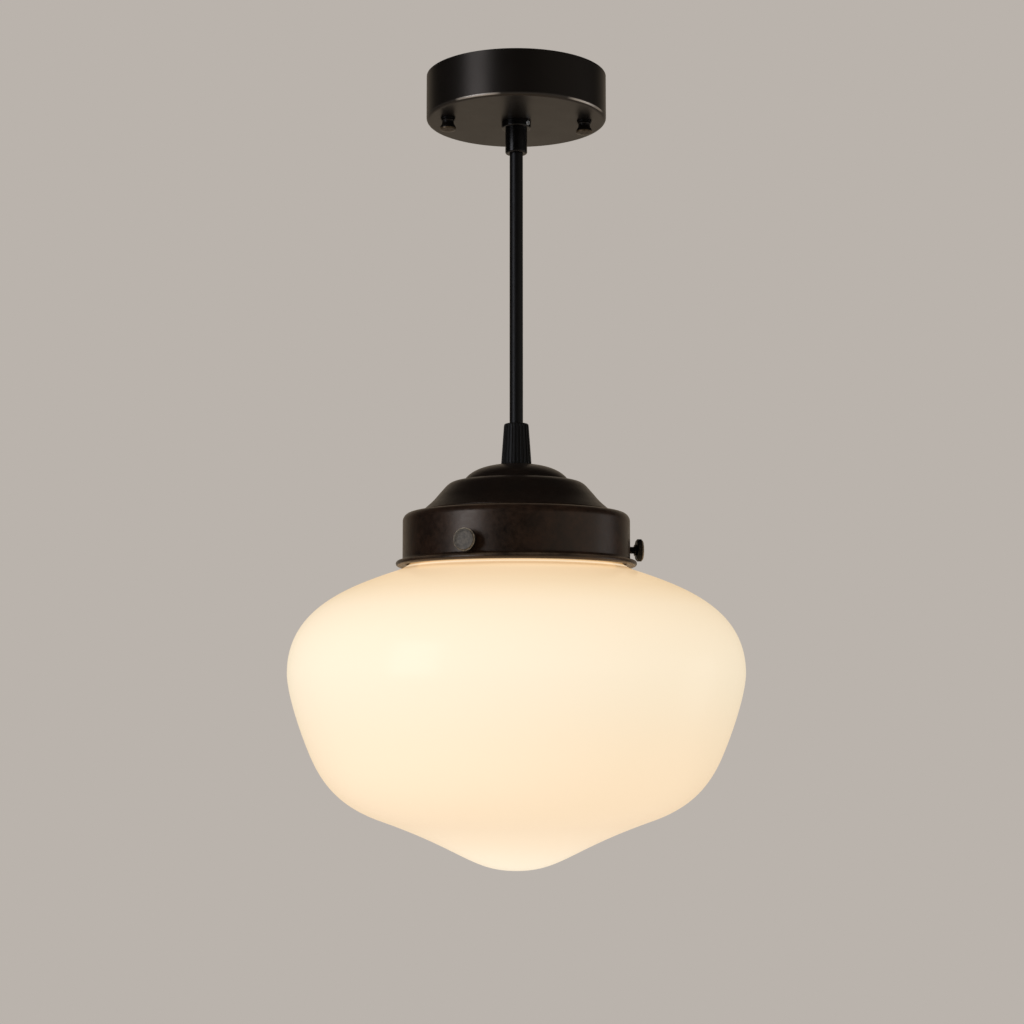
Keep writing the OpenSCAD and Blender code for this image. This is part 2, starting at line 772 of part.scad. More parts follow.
// Thumbscrew: threaded shank, a shoulder and a flat head, knurled between two plain discs
module thumbscrew(turn) {
    start = tip_end_r + face_gap;
    head_r = head_d / 2;
    chamfer = 0.5;
    disc_r = head_r - 2 * knurl_depth;
    shoulder_r = stud_r + 1;
    shoulder_l = 1;
    outline = [for (i = [0 : 2 * knurl_count - 1])
        (head_r - (i % 2) * knurl_depth) * heading(180 * i / knurl_count)];
    disc = [
        [0, 0], [disc_r - chamfer, 0], [disc_r, chamfer],
        [disc_r, head_t - chamfer], [disc_r - chamfer, head_t], [0, head_t]
    ];
    color(bronze_steel) at_thumbscrew(turn) {
        translate([0, 0, start])
            cylinder(h = head_in_r + chamfer - start, r = stud_r);
        translate([0, 0, head_in_r - shoulder_l])
            cylinder(h = shoulder_l + chamfer, r = shoulder_r);
        translate([0, 0, head_in_r]) rotate_extrude() polygon(disc);
        translate([0, 0, head_in_r + chamfer])
            linear_extrude(head_t - 2 * chamfer) polygon(outline);
    }
}

// Blown shade: a flared rim that rests on the screw tips, a neck, a wide belly that tapers down,
// a hollow above the bottom and a blunt tip
module glass_shade() {
    neck_fillet = 1;
    rim_edge_r = 1.2;
    rim_edge = 0.6;
    neck_h = 6;
    neck_foot = [neck_r, rim_foot_z - neck_h];
    shoulder = [lip_r + 0.3, lip_z - 1.5];
    belly = [glass_d / 2, lip_z - belly_drop];
    corner = [corner_d / 2, lip_z - corner_drop];
    hollow = [hollow_d / 2, lip_z - hollow_drop];
    tip = [0, lip_z - tip_drop];
    shoulder_run = -20;
    side_run = -111.6;
    hollow_run = -164.8;
    outside = concat(
        arc(rim_r - rim_edge_r, rim_top_z - rim_edge_r, rim_edge_r, 90, 0, 4),
        [[rim_r, rim_foot_z + rim_edge], [rim_r - rim_edge, rim_foot_z]],
        arc(neck_r + neck_fillet, rim_foot_z - neck_fillet, neck_fillet, 90, 180, 4),
        [neck_foot],
        bend(neck_foot, -90, 0.31, shoulder, shoulder_run, 0.39, 6),
        bend(shoulder, shoulder_run, 0.435, belly, -90, 0.356, 18),
        bend(belly, -90, 0.296, corner, side_run, 0.269, 10),
        bend(corner, side_run, 0.286, hollow, hollow_run, 0.288, 12),
        bend(hollow, hollow_run, 0.363, tip, 180, 0.297, 14)
    );
    neck_in_r = neck_r - glass_wall;
    neck_in = [neck_in_r, neck_foot[1]];
    below_shoulder = [for (p = outside) if (p[1] < shoulder[1] - 0.01 && p[0] > 0) p];
    wall = inset(below_shoulder, glass_wall);
    inside = concat(
        [[0, tip[1] + glass_wall]],
        reverse(wall),
        bend(wall[0], shoulder_run + 180, 0.31, neck_in, 90, 0.31, 6),
        [[neck_in_r, rim_top_z - rim_edge_r], [neck_in_r + rim_edge_r, rim_top_z]]
    );
    color(opal) rotate_extrude($fn = 180) polygon(concat(outside, inside));
}

// Lampholder: a cap screwed on the threaded tube, a ceramic block with the terminals, a body
// and a brass screw shell
module socket_cap() {
    hub_r = tube_r + 2.6;
    hub_foot_z = socket_top_z - 3;
    skirt_r = socket_r - 0.6;
    skirt_in_r = skirt_r - socket_cap_wall;
    skirt_top_z = socket_top_z - 8.4;
    foot_z = block_top_z + face_gap;
    roof_z = socket_top_z - 5.6;
    shape = [
        [0, socket_top_z], [hub_r, socket_top_z], [hub_r, hub_foot_z],
        [skirt_r - 3.4, hub_foot_z - 1.5], [skirt_r - 1, skirt_top_z + 2.4], [skirt_r, skirt_top_z],
        [skirt_r, foot_z], [skirt_in_r, foot_z],
        [skirt_in_r, skirt_top_z - 0.4], [skirt_r - 4, roof_z - 0.6], [0, roof_z]
    ];
    color(black_plastic) difference() {
        rotate_extrude() polygon(shape);
        hole(tube_r + run_gap, socket_top_z, roof_z);
    }
}

// Depths of the terminal screws' holes in the block and of the contact's rivet hole
terminal_depth = 5;
rivet_depth = 3;
module socket_block() {
    color(ceramic) difference() {
        ring(socket_r - 3, block_top_z, block_foot_z);
        for (side = [-1, 1])
            translate([side * terminal_x, 0, block_top_z - terminal_depth])
                cylinder(h = terminal_depth + past, r = terminal_r + run_gap);
        translate([0, 0, block_foot_z - past])
            cylinder(h = rivet_depth + past, r = rivet_r + run_gap);
    }
}

module socket_screws() {
    head_h = 2.2;
    slot_w = 0.8;
    slot_depth = 0.8;
    head_top_z = block_top_z + head_h;
    color(brass) for (side = [-1, 1]) translate([side * terminal_x, 0, 0]) difference() {
        union() {
            ring(terminal_r, block_top_z + head_h / 2, block_top_z - terminal_depth + 0.5);
            ring(terminal_head_d / 2, head_top_z, block_top_z + face_gap);
        }
        translate([-terminal_head_d, -slot_w / 2, head_top_z - slot_depth])
            cube([2 * terminal_head_d, slot_w, slot_depth + past]);
    }
}

module socket_body() {
    well_r = socket_r - 3 + slip_gap;
    well_foot_z = block_foot_z - face_gap;
    edge = 0.8;
    shape = [
        [well_r, block_top_z], [socket_r - edge / 2, block_top_z], [socket_r, block_top_z - edge],
        [socket_r - edge, socket_foot_z + edge], [socket_r - 2 * edge, socket_foot_z],
        [bore_r, socket_foot_z], [bore_r, well_foot_z], [well_r, well_foot_z]
    ];
    color(black_plastic) rotate_extrude() polygon(shape);
}

// Screw shell of the lampholder, hung under the block, with a hole round the centre contact
module socket_shell() {
    top_z = block_foot_z - face_gap;
    contact_hole_r = 7;
    color(brass) {
        ring(shell_r, top_z, top_z - shell_h, shell_in_r);
        ring(shell_r, top_z, top_z - shell_wall, contact_hole_r);
    }
}

// Centre contact: a disc hung on a rivet in the block
module socket_contact() {
    disc_r = 4.2;
    color(brass) {
        ring(rivet_r, block_foot_z + rivet_depth - 0.4, contact_z - contact_t / 2);
        ring(disc_r, contact_z, contact_z - contact_t);
    }
}

// Both wires from the cord's lower end to the heads of the terminal screws
module lamp_wires() {
    reach = terminal_x - terminal_head_d / 2 - slip_gap;
    foot_z = block_top_z + wire_r + slip_gap;
    route = [
        [wire_start_r, tail_end_z], [wire_start_r, tail_end_z - 1.4],
        [(wire_start_r + reach) / 2, foot_z + 2.2], [reach - 1, foot_z], [reach, foot_z]
    ];
    color([0.3, 0.3, 0.3]) for (turn = [0, 180])
        swept(fan(route, turn), wire_r, wire_sides, [0, 1, 0]);
}

// Lamp with a screw cap: contact, insulator, cap, housing and globe
module lamp_contact() {
    button_r = 4.6;
    color(brass) ring(button_r, lamp_top_z, lamp_top_z - lamp_button_t);
}

module lamp_insulator() {
    top_z = lamp_top_z - lamp_button_t - face_gap;
    color([0.1, 0.1, 0.12]) translate([0, 0, insulator_foot_z])
        cylinder(h = top_z - insulator_foot_z, r1 = lamp_cap_r - 1.8, r2 = 5.4);
}

module lamp_cap() {
    top_z = insulator_foot_z - face_gap;
    edge = 1.6;
    in_r = lamp_cap_r - lamp_cap_wall;
    shape = [
        [0, top_z], [lamp_cap_r - edge, top_z], [lamp_cap_r, top_z - edge],
        [lamp_cap_r, lamp_skirt_z], [in_r, lamp_skirt_z], [in_r, top_z - edge - 0.2],
        [lamp_cap_r - edge - 0.2, top_z - lamp_cap_wall], [0, top_z - lamp_cap_wall]
    ];
    color(zinc) rotate_extrude() polygon(shape);
}

// Moulded housing that opens from the cap to the globe's widest ring, with a plug in the cap
module lamp_housing() {
    plug_r = lamp_cap_r - lamp_cap_wall - slip_gap;
    plug_top_z = lamp_skirt_z + 8;
    top_z = lamp_skirt_z - face_gap;
    neck = [lamp_skirt_r, lamp_skirt_z - 4];
    rim = [globe_r, globe_mid_z];
    outside = concat([neck], bend(neck, -90, 0.2, rim, -90, 0.365));
    shape = concat(
        [[0, plug_top_z], [plug_r, plug_top_z], [plug_r, top_z], [lamp_skirt_r, top_z]],
        outside,
        reverse(inset(outside, housing_wall)),
        [[0, neck[1]]]
    );
    color([0.93, 0.93, 0.92]) rotate_extrude() polygon(shape);
}

module lamp_globe() {
    top_z = globe_mid_z - face_gap;
    shape = concat(
        arc(0, top_z, globe_r, 0, -90, 16),
        arc(0, top_z, globe_r - globe_wall, -90, 0, 16)
    );
    color([0.97, 0.95, 0.9]) rotate_extrude() polygon(shape);
}

mounting_plate();
plate_studs();
stud_locknuts();
ground_screw();
canopy();
canopy_grip();
grip_toothed_washer();
grip_locknut();
grip_side_screw();
cord_top();
wire_live();
wire_neutral();
wire_earth();
wire_connectors();
nut_washer(-1);  // nut_washer_left
nut_washer(1);  // nut_washer_right
canopy_nut(-1);  // canopy_nut_left
canopy_nut(1);  // canopy_nut_right
cord_bend();
cord();
lower_grip();
cord_tail();
threaded_tube();
holder();
holder_washer();
holder_locknut();
socket_cap();
socket_block();
socket_body();
socket_shell();
socket_contact();
socket_screws();
lamp_wires();
glass_shade();
screw_tip(screw_turns[0]);  // screw_tip_front
screw_tip(screw_turns[1]);  // screw_tip_right
screw_tip(screw_turns[2]);  // screw_tip_back
thumbscrew(screw_turns[0]);  // thumbscrew_front
thumbscrew(screw_turns[1]);  // thumbscrew_right
thumbscrew(screw_turns[2]);  // thumbscrew_back
lamp_contact();
lamp_insulator();
lamp_cap();
lamp_housing();
lamp_globe();
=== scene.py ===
import math
import bpy
import numpy as np
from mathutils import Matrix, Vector


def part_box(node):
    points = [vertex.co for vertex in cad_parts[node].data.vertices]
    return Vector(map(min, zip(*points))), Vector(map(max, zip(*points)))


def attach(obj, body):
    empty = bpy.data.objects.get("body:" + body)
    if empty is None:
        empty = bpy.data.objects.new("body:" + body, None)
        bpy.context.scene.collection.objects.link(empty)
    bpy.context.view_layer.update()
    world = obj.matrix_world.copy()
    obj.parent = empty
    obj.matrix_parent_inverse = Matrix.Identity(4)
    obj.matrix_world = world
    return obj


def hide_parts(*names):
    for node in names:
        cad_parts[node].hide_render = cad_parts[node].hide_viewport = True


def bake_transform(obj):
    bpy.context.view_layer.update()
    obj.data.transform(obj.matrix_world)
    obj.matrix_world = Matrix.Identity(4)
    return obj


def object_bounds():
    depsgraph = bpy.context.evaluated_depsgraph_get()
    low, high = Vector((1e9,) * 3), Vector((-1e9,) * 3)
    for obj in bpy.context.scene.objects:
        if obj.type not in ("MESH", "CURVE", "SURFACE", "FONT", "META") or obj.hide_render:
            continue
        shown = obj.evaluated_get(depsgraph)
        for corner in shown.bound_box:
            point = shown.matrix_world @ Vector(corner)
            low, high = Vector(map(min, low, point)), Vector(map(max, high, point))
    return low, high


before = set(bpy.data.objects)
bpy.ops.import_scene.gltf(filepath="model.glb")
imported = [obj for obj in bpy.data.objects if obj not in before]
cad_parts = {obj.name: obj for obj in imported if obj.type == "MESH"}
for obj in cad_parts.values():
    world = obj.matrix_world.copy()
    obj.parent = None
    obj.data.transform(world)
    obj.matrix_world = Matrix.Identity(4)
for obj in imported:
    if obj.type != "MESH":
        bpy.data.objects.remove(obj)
cadLow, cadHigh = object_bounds()
mm = 0.001


def nodeBox(name):  # a CAD node's lowest and highest corner, in millimetres
    low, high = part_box(name)
    return np.array(low) / mm, np.array(high) / mm


# Camera: it stands where the photograph was taken, a little below the shade's widest ring
cameraSetup = {
    "lens": 69.2,
    "sensor": 36,
    "place": (-2.4, -1088, -355.8),  # mm
    "pitch": 5.669,  # degrees above the horizon
}


def makeCamera(setup):
    data = bpy.data.cameras.new("camera")
    data.lens = setup["lens"]
    data.sensor_width = setup["sensor"]
    camera = bpy.data.objects.new("camera", data)
    camera.location = [p * mm for p in setup["place"]]
    camera.rotation_euler = (math.radians(90 + setup["pitch"]), 0, 0)
    bpy.context.collection.objects.link(camera)
    bpy.context.scene.camera = camera


makeCamera(cameraSetup)
bpy.context.scene.view_settings.view_transform = "Standard"
print("camera placed")


# Mesh tools. Lengths are millimetres until a mesh is made.
def heading(degrees):  # the direction that many degrees round from the first axis, of length 1
    return np.array([math.cos(math.radians(degrees)), math.sin(math.radians(degrees))])


def arcPoints(centre, radius, start, end, steps=12):
    # points on a circle: centre + radius (cos a, sin a), with a running from start to end
    angle = np.radians(np.linspace(start, end, steps + 1))[:, None]
    return np.array(centre) + radius * np.hstack([np.cos(angle), np.sin(angle)])


def bendPoints(a, b, bend, steps):
    # Cubic curve from a to b. A bend is the heading and the pull where the curve leaves a, then
    # those where it arrives at b; a pull is a share of the distance between them. The first
    # point is left out.
    leaving, pullA, arriving, pullB = bend
    a, b = np.array(a, float), np.array(b, float)
    span = np.linalg.norm(b - a)
    c = a + pullA * span * heading(leaving)
    d = b - pullB * span * heading(arriving)
    t = np.linspace(0, 1, steps + 1)[1:, None]
    s = 1 - t
    return a * s**3 + 3 * c * t * s**2 + 3 * d * t**2 * s + b * t**3


def offsetPath(path, distance):
    # every point moves sideways, to the right of the path, with mitred corners
    step = np.diff(path, axis=0)
    step /= np.linalg.norm(step, axis=1)[:, None]
    side = np.stack([step[:, 1], -step[:, 0]], axis=1)
    into = np.vstack([side[:1], side])
    out = np.vstack([side, side[-1:]])
    middle = into + out
    middle /= np.linalg.norm(middle, axis=1)[:, None]
    stretch = np.maximum((middle * into).sum(axis=1), 0.5)[:, None]
    return path + middle * distance / stretch


def turned(profile, steps, closed=True, reshape=None):
    # Surface of revolution. Point (i, j) is profile point i turned by j / steps of a full turn:
    # x = r cos a, y = r sin a, z = h. reshape may change r and h as functions of the turn.
    profile = np.asarray(profile, float)
    angle = np.linspace(0, 2 * np.pi, steps, endpoint=False)[None, :]
    radius = profile[:, :1] + 0 * angle
    height = profile[:, 1:] + 0 * angle
    if reshape:
        radius, height = reshape(radius, height, angle)
    points = np.stack([radius * np.cos(angle), radius * np.sin(angle), height], axis=-1)
    index = np.arange(radius.size).reshape(radius.shape)
    onAxis = profile[:, 0] < 1e-6
    index[onAxis] = index[onAxis][:, :1]  # a row on the axis is one point
    first = index if closed else index[:-1]
    second = np.roll(index, -1, axis=0) if closed else index[1:]
    quads = np.stack([first, np.roll(first, -1, axis=1), np.roll(second, -1, axis=1), second],
                     axis=-1)
    return points.reshape(-1, 3), quads.reshape(-1, 4)


def meshPiece(name, points, quads, material, sharpAngle=40):
    # A quad that a pole has pinched becomes a triangle, or nothing where both of its ends are
    # pinched, and points that no face uses go. Faces of a closed piece point outwards.
    pinchedStart = quads[:, 0] == quads[:, 1]
    pinchedEnd = quads[:, 2] == quads[:, 3]
    triangles = np.vstack([
        quads[pinchedStart & ~pinchedEnd][:, [0, 2, 3]],
        quads[pinchedEnd & ~pinchedStart][:, [0, 1, 2]],
    ])
    quads = quads[~pinchedStart & ~pinchedEnd]
    used, order = np.unique(np.concatenate([quads.ravel(), triangles.ravel()]), return_inverse=True)
    points = points[used]
    quads = order[:quads.size].reshape(-1, 4)
    triangles = order[quads.size:].reshape(-1, 3)
    halves = np.vstack([quads[:, [0, 1, 2]], quads[:, [0, 2, 3]], triangles])
    volume = np.einsum("ij,ij->i", points[halves[:, 0]],
                       np.cross(points[halves[:, 1]], points[halves[:, 2]])).sum()
    if volume < 0:
        quads, triangles = quads[:, ::-1], triangles[:, ::-1]
    mesh = bpy.data.meshes.new(name)
    mesh.from_pydata((points * mm).tolist(), [], quads.tolist() + triangles.tolist())
    mesh.shade_smooth()
    mesh.set_sharp_from_angle(angle=math.radians(sharpAngle))
    mesh.materials.append(material)
    piece = bpy.data.objects.new(name, mesh)
    bpy.context.collection.objects.link(piece)
    return piece


def joinParts(*parts):  # several (points, quads) pairs as one
    points, quads, count = [], [], 0
    for partPoints, partQuads in parts:
        points.append(partPoints)
        quads.append(partQuads + count)
        count += len(partPoints)
    return np.vstack(points), np.vstack(quads)


def keepValue(piece, name, formula):
    # gives each point a value of its place, in millimetres, that the piece's material reads
    mesh = piece.data
    place = np.empty(len(mesh.vertices) * 3)
    mesh.vertices.foreach_get("co", place)
    values = formula(place.reshape(-1, 3) / mm)
    kept = mesh.attributes.new(name, "FLOAT", "POINT")
    kept.data.foreach_set("value", values.astype(np.float32))


def layAlong(points, turn, height):
    # lays what stands along +Z outwards along a heading in the level plane at that height
    out = np.array([*heading(turn), 0])
    side = np.array([-out[1], out[0], 0])
    down = np.array([0, 0, -1.0])
    return points[:, :1] * down + points[:, 1:2] * side + points[:, 2:] * out + [0, 0, height]


# Material tools
def colour(hexCode):  # an sRGB hex colour as linear values
    parts = [int(hexCode[i:i + 2], 16) / 255 for i in (1, 3, 5)]
    return [c / 12.92 if c <= 0.04045 else ((c + 0.055) / 1.055) ** 2.4 for c in parts] + [1]


def addNode(tree, kind, settings=None, links=None):
    # One shader node. A setting is a property of the node or the value of an input, and a link
    # joins an input to another node's output.
    node = tree.nodes.new("ShaderNode" + kind)
    for key, value in (settings or {}).items():
        if isinstance(key, str) and key in node.bl_rna.properties:
            setattr(node, key, value)
        else:
            node.inputs[key].default_value = value
    for key, socket in (links or {}).items():
        tree.links.new(socket, node.inputs[key])
    return node


def fillRamp(node, stops):  # gives a colour ramp its stops, as pairs of a position and a hex colour
    elements = node.color_ramp.elements
    elements[0].position, elements[-1].position = stops[0][0], stops[-1][0]
    for position, value in stops[1:-1]:
        elements.new(position)
    for element, (position, value) in zip(elements, stops):
        element.color = colour(value)


def newMaterial(name):
    # an empty material, and its object coordinates in millimetres
    material = bpy.data.materials.new(name)
    material.use_nodes = True
    tree = material.node_tree
    tree.nodes.clear()
    coordinates = addNode(tree, "TexCoord")
    place = addNode(tree, "VectorMath", {"operation": "SCALE", "Scale": 1 / mm},
                    {0: coordinates.outputs["Object"]})
    return material, tree, place.outputs[0]


def fromAxis(tree, place):
    # a place without its height, and its distance from the axis: the root of x x + y y
    level = addNode(tree, "VectorMath", {"operation": "MULTIPLY", 1: (1, 1, 0)}, {0: place})
    radius = addNode(tree, "VectorMath", {"operation": "LENGTH"}, {0: level.outputs[0]})
    return level.outputs[0], radius.outputs["Value"]


def finishMaterial(tree, shader):
    addNode(tree, "OutputMaterial", None, {"Surface": shader.outputs[0]})


def speckled(name, darkHex, lightHex, grain, roughness, metallic=0, bump=0.02, specular=0.5):
    # A plain finish: two close colours in soft patches, uneven gloss, and a fine surface grain.
    # grain is the size of the grain in millimetres and bump its depth.
    material, tree, place = newMaterial(name)
    patches = addNode(tree, "TexNoise", {"Scale": 0.12 / grain, "Detail": 4}, {"Vector": place})
    fine = addNode(tree, "TexNoise", {"Scale": 1 / grain, "Detail": 3}, {"Vector": place})
    tint = addNode(tree, "Mix", {"data_type": "RGBA", 6: colour(darkHex), 7: colour(lightHex)},
                   {0: patches.outputs["Fac"]})
    gloss = addNode(tree, "MapRange", {"To Min": roughness * 0.8, "To Max": roughness * 1.2},
                    {"Value": patches.outputs["Fac"]})
    relief = addNode(tree, "Bump", {"Strength": 1, "Distance": bump * mm},
                     {"Height": fine.outputs["Fac"]})
    shader = addNode(tree, "BsdfPrincipled", {"Metallic": metallic, "Specular IOR Level": specular},
                     {"Base Color": tint.outputs[2], "Roughness": gloss.outputs["Result"],
                      "Normal": relief.outputs[0]})
    finishMaterial(tree, shader)
    return material


# Finishes of the pieces inside the canopy, the holder and the shade, by their slot in the record:
# name, dark colour, light colour, grain in mm, roughness, metallic
plainFinishes = {
    # zinc with its dull chromate skin: cool grey, faintly spangled, half its light without shine
    "zinc_plated_steel": ("zincPlatedSteel", "#9aa0a6", "#b9bdc0", 1.2, 0.34, 0.5),
    # a green dip over steel: the metal's shine comes through the colour
    "green_steel": ("greenDippedSteel", "#2f6b3a", "#3d7d48", 1.0, 0.36, 0.3),
    # extruded insulation: even colour with a soft gloss
    "black_wire": ("extrudedBlackPvc", "#141313", "#1d1c1b", 0.8, 0.42, 0),
    "white_wire": ("extrudedWhitePvc", "#d9d8d2", "#e4e3dd", 0.8, 0.42, 0),
    "green_wire": ("extrudedGreenPvc", "#2c7a3c", "#388a48", 0.8, 0.42, 0),
    # moulded caps: orange, slightly waxy
    "connector_plastic": ("mouldedPolypropylene", "#c8641e", "#d67229", 0.6, 0.38, 0),
    # pressed in a polished tool: dark and glossy
    "black_phenolic": ("pressedPhenolic", "#151312", "#201d1b", 0.7, 0.3, 0),
    # fired without a glaze: chalky off-white
    "block_ceramic": ("firedSteatite", "#dcd8cc", "#e9e6dc", 0.6, 0.45, 0),
    # rolled sheet: yellow, with a soft even shine
    "contact_brass": ("rolledBrass", "#b8924a", "#cfab62", 0.9, 0.3, 0.6),
    # turned from natural nylon: a milky, matt off-white
    "tip_nylon": ("turnedNylon", "#cfcabc", "#dedacf", 0.5, 0.5, 0),
    # poured into the cap: black and mirror-smooth
    "black_glass": ("pouredBlackGlass", "#0c0c0d", "#151516", 1.5, 0.12, 0),
    # a thin warm-grey plating with a bright shine
    "nickel_cap": ("nickelPlatedBrass", "#a9a59c", "#c0bcb2", 0.9, 0.26, 0.6),
    # moulded housing: plain white, half matt
    "lamp_plastic": ("mouldedPolycarbonate", "#e6e4de", "#f0eee9", 0.5, 0.45, 0),
    # etched in acid: a soft white without reflections
    "lamp_glass": ("acidFrostedGlass", "#efece2", "#f7f4eb", 0.4, 0.4, 0),
}
materials = {slot: speckled(*values) for slot, values in plainFinishes.items()}


def canopyPaint():
    # Drawn steel, sprayed satin black with a little brown in it: an even deep black with the low
    # swell of sprayed paint. On the bend at the lower edge a thin pale metallic line is painted: it
    # stands for steel where the paint is rubbed through, and it is a painted highlight where it is
    # full, front left and front right and opposite them, where the windows' highlights fall.
    # Elsewhere it is faint.
    settings = {
        # the pale steel colour is that of the line on the bend: a painted highlight, and rubbed
        # steel
        "paint": "#040303", "dust": "#080605", "steel": "#d2cac0", "sheen": "#fff2e6",
        "cloud": 18, "swell": 1.6, "swellDepth": 0.012,  # mm
        "gloss": {"To Min": 0.3, "To Max": 0.4},
        # the pale line, a painted highlight and rubbed steel, is the upper half of the bend:
        # inwards from the wall's face and upwards from the underside, in mm, where it starts and
        # where it is full
        "inwards": (0.6, 0.35), "upwards": (1.85, 1.45),
        # heading and reach in degrees of each place where the line is a painted highlight; its
        # opposite gets one too
        "held": [(-115.5, 17), (-37, 21)],
        "faint": 0.02,
    }
    material, tree, place = newMaterial("satinBlackPaint")
    low, high = nodeBox("canopy")
    swell = addNode(tree, "TexNoise", {"Scale": 1 / settings["swell"], "Detail": 2},
                    {"Vector": place})
    cloud = addNode(tree, "TexNoise",
                    {"Scale": 1 / settings["cloud"], "Detail": 5, "Roughness": 0.6},
                    {"Vector": place})
    base = addNode(tree, "Mix", {"data_type": "RGBA", 6: colour(settings["paint"]),
                                 7: colour(settings["dust"])}, {0: cloud.outputs["Fac"]})
    apart = addNode(tree, "SeparateXYZ", None, {0: place})
    level, radius = fromAxis(tree, place)
    start, full = settings["inwards"]
    outer = addNode(tree, "MapRange", {"From Min": high[0] - start, "From Max": high[0] - full},
                    {"Value": radius})
    start, full = settings["upwards"]
    lower = addNode(tree, "MapRange", {"From Min": low[2] + start, "From Max": low[2] + full},
                    {"Value": apart.outputs["Z"]})
    bend = addNode(tree, "Math", {"operation": "MULTIPLY"},
                   {0: outer.outputs[0], 1: lower.outputs[0]})
    outward = addNode(tree, "VectorMath", {"operation": "NORMALIZE"}, {0: level})
    # painted highlight: the line is full round each listed place and its opposite, faint elsewhere
    highlightLink = {}
    for turn, reach in settings["held"]:
        near = addNode(tree, "VectorMath", {"operation": "DOT_PRODUCT", 1: (*heading(turn), 0)},
                       {0: outward.outputs[0]})
        either = addNode(tree, "Math", {"operation": "ABSOLUTE"}, {0: near.outputs["Value"]})
        fade = addNode(tree, "MapRange", {"interpolation_type": "SMOOTHSTEP", "From Max": 1,
                                          "From Min": math.cos(math.radians(reach))},
                       {"Value": either.outputs[0]})
        most = addNode(tree, "Math", {"operation": "MAXIMUM", 0: settings["faint"]},
                       {1: fade.outputs[0], **highlightLink})
        highlightLink = {0: most.outputs[0]}
    wearAndHighlight = addNode(tree, "Math", {"operation": "MULTIPLY"}, {1: bend.outputs[0], **highlightLink})
    tint = addNode(tree, "Mix", {"data_type": "RGBA", 7: colour(settings["steel"])},
                   {0: wearAndHighlight.outputs[0], 6: base.outputs[2]})
    gloss = addNode(tree, "MapRange", settings["gloss"], {"Value": cloud.outputs["Fac"]})
    relief = addNode(tree, "Bump", {"Strength": 1, "Distance": settings["swellDepth"] * mm},
                     {"Height": swell.outputs["Fac"]})
    shader = addNode(tree, "BsdfPrincipled",
                     {"Specular IOR Level": 0.5, "Specular Tint": colour(settings["sheen"])},
                     {"Base Color": tint.outputs[2], "Roughness": gloss.outputs[0],
                      "Metallic": wearAndHighlight.outputs[0], "Normal": relief.outputs[0]})
    finishMaterial(tree, shader)
    return material


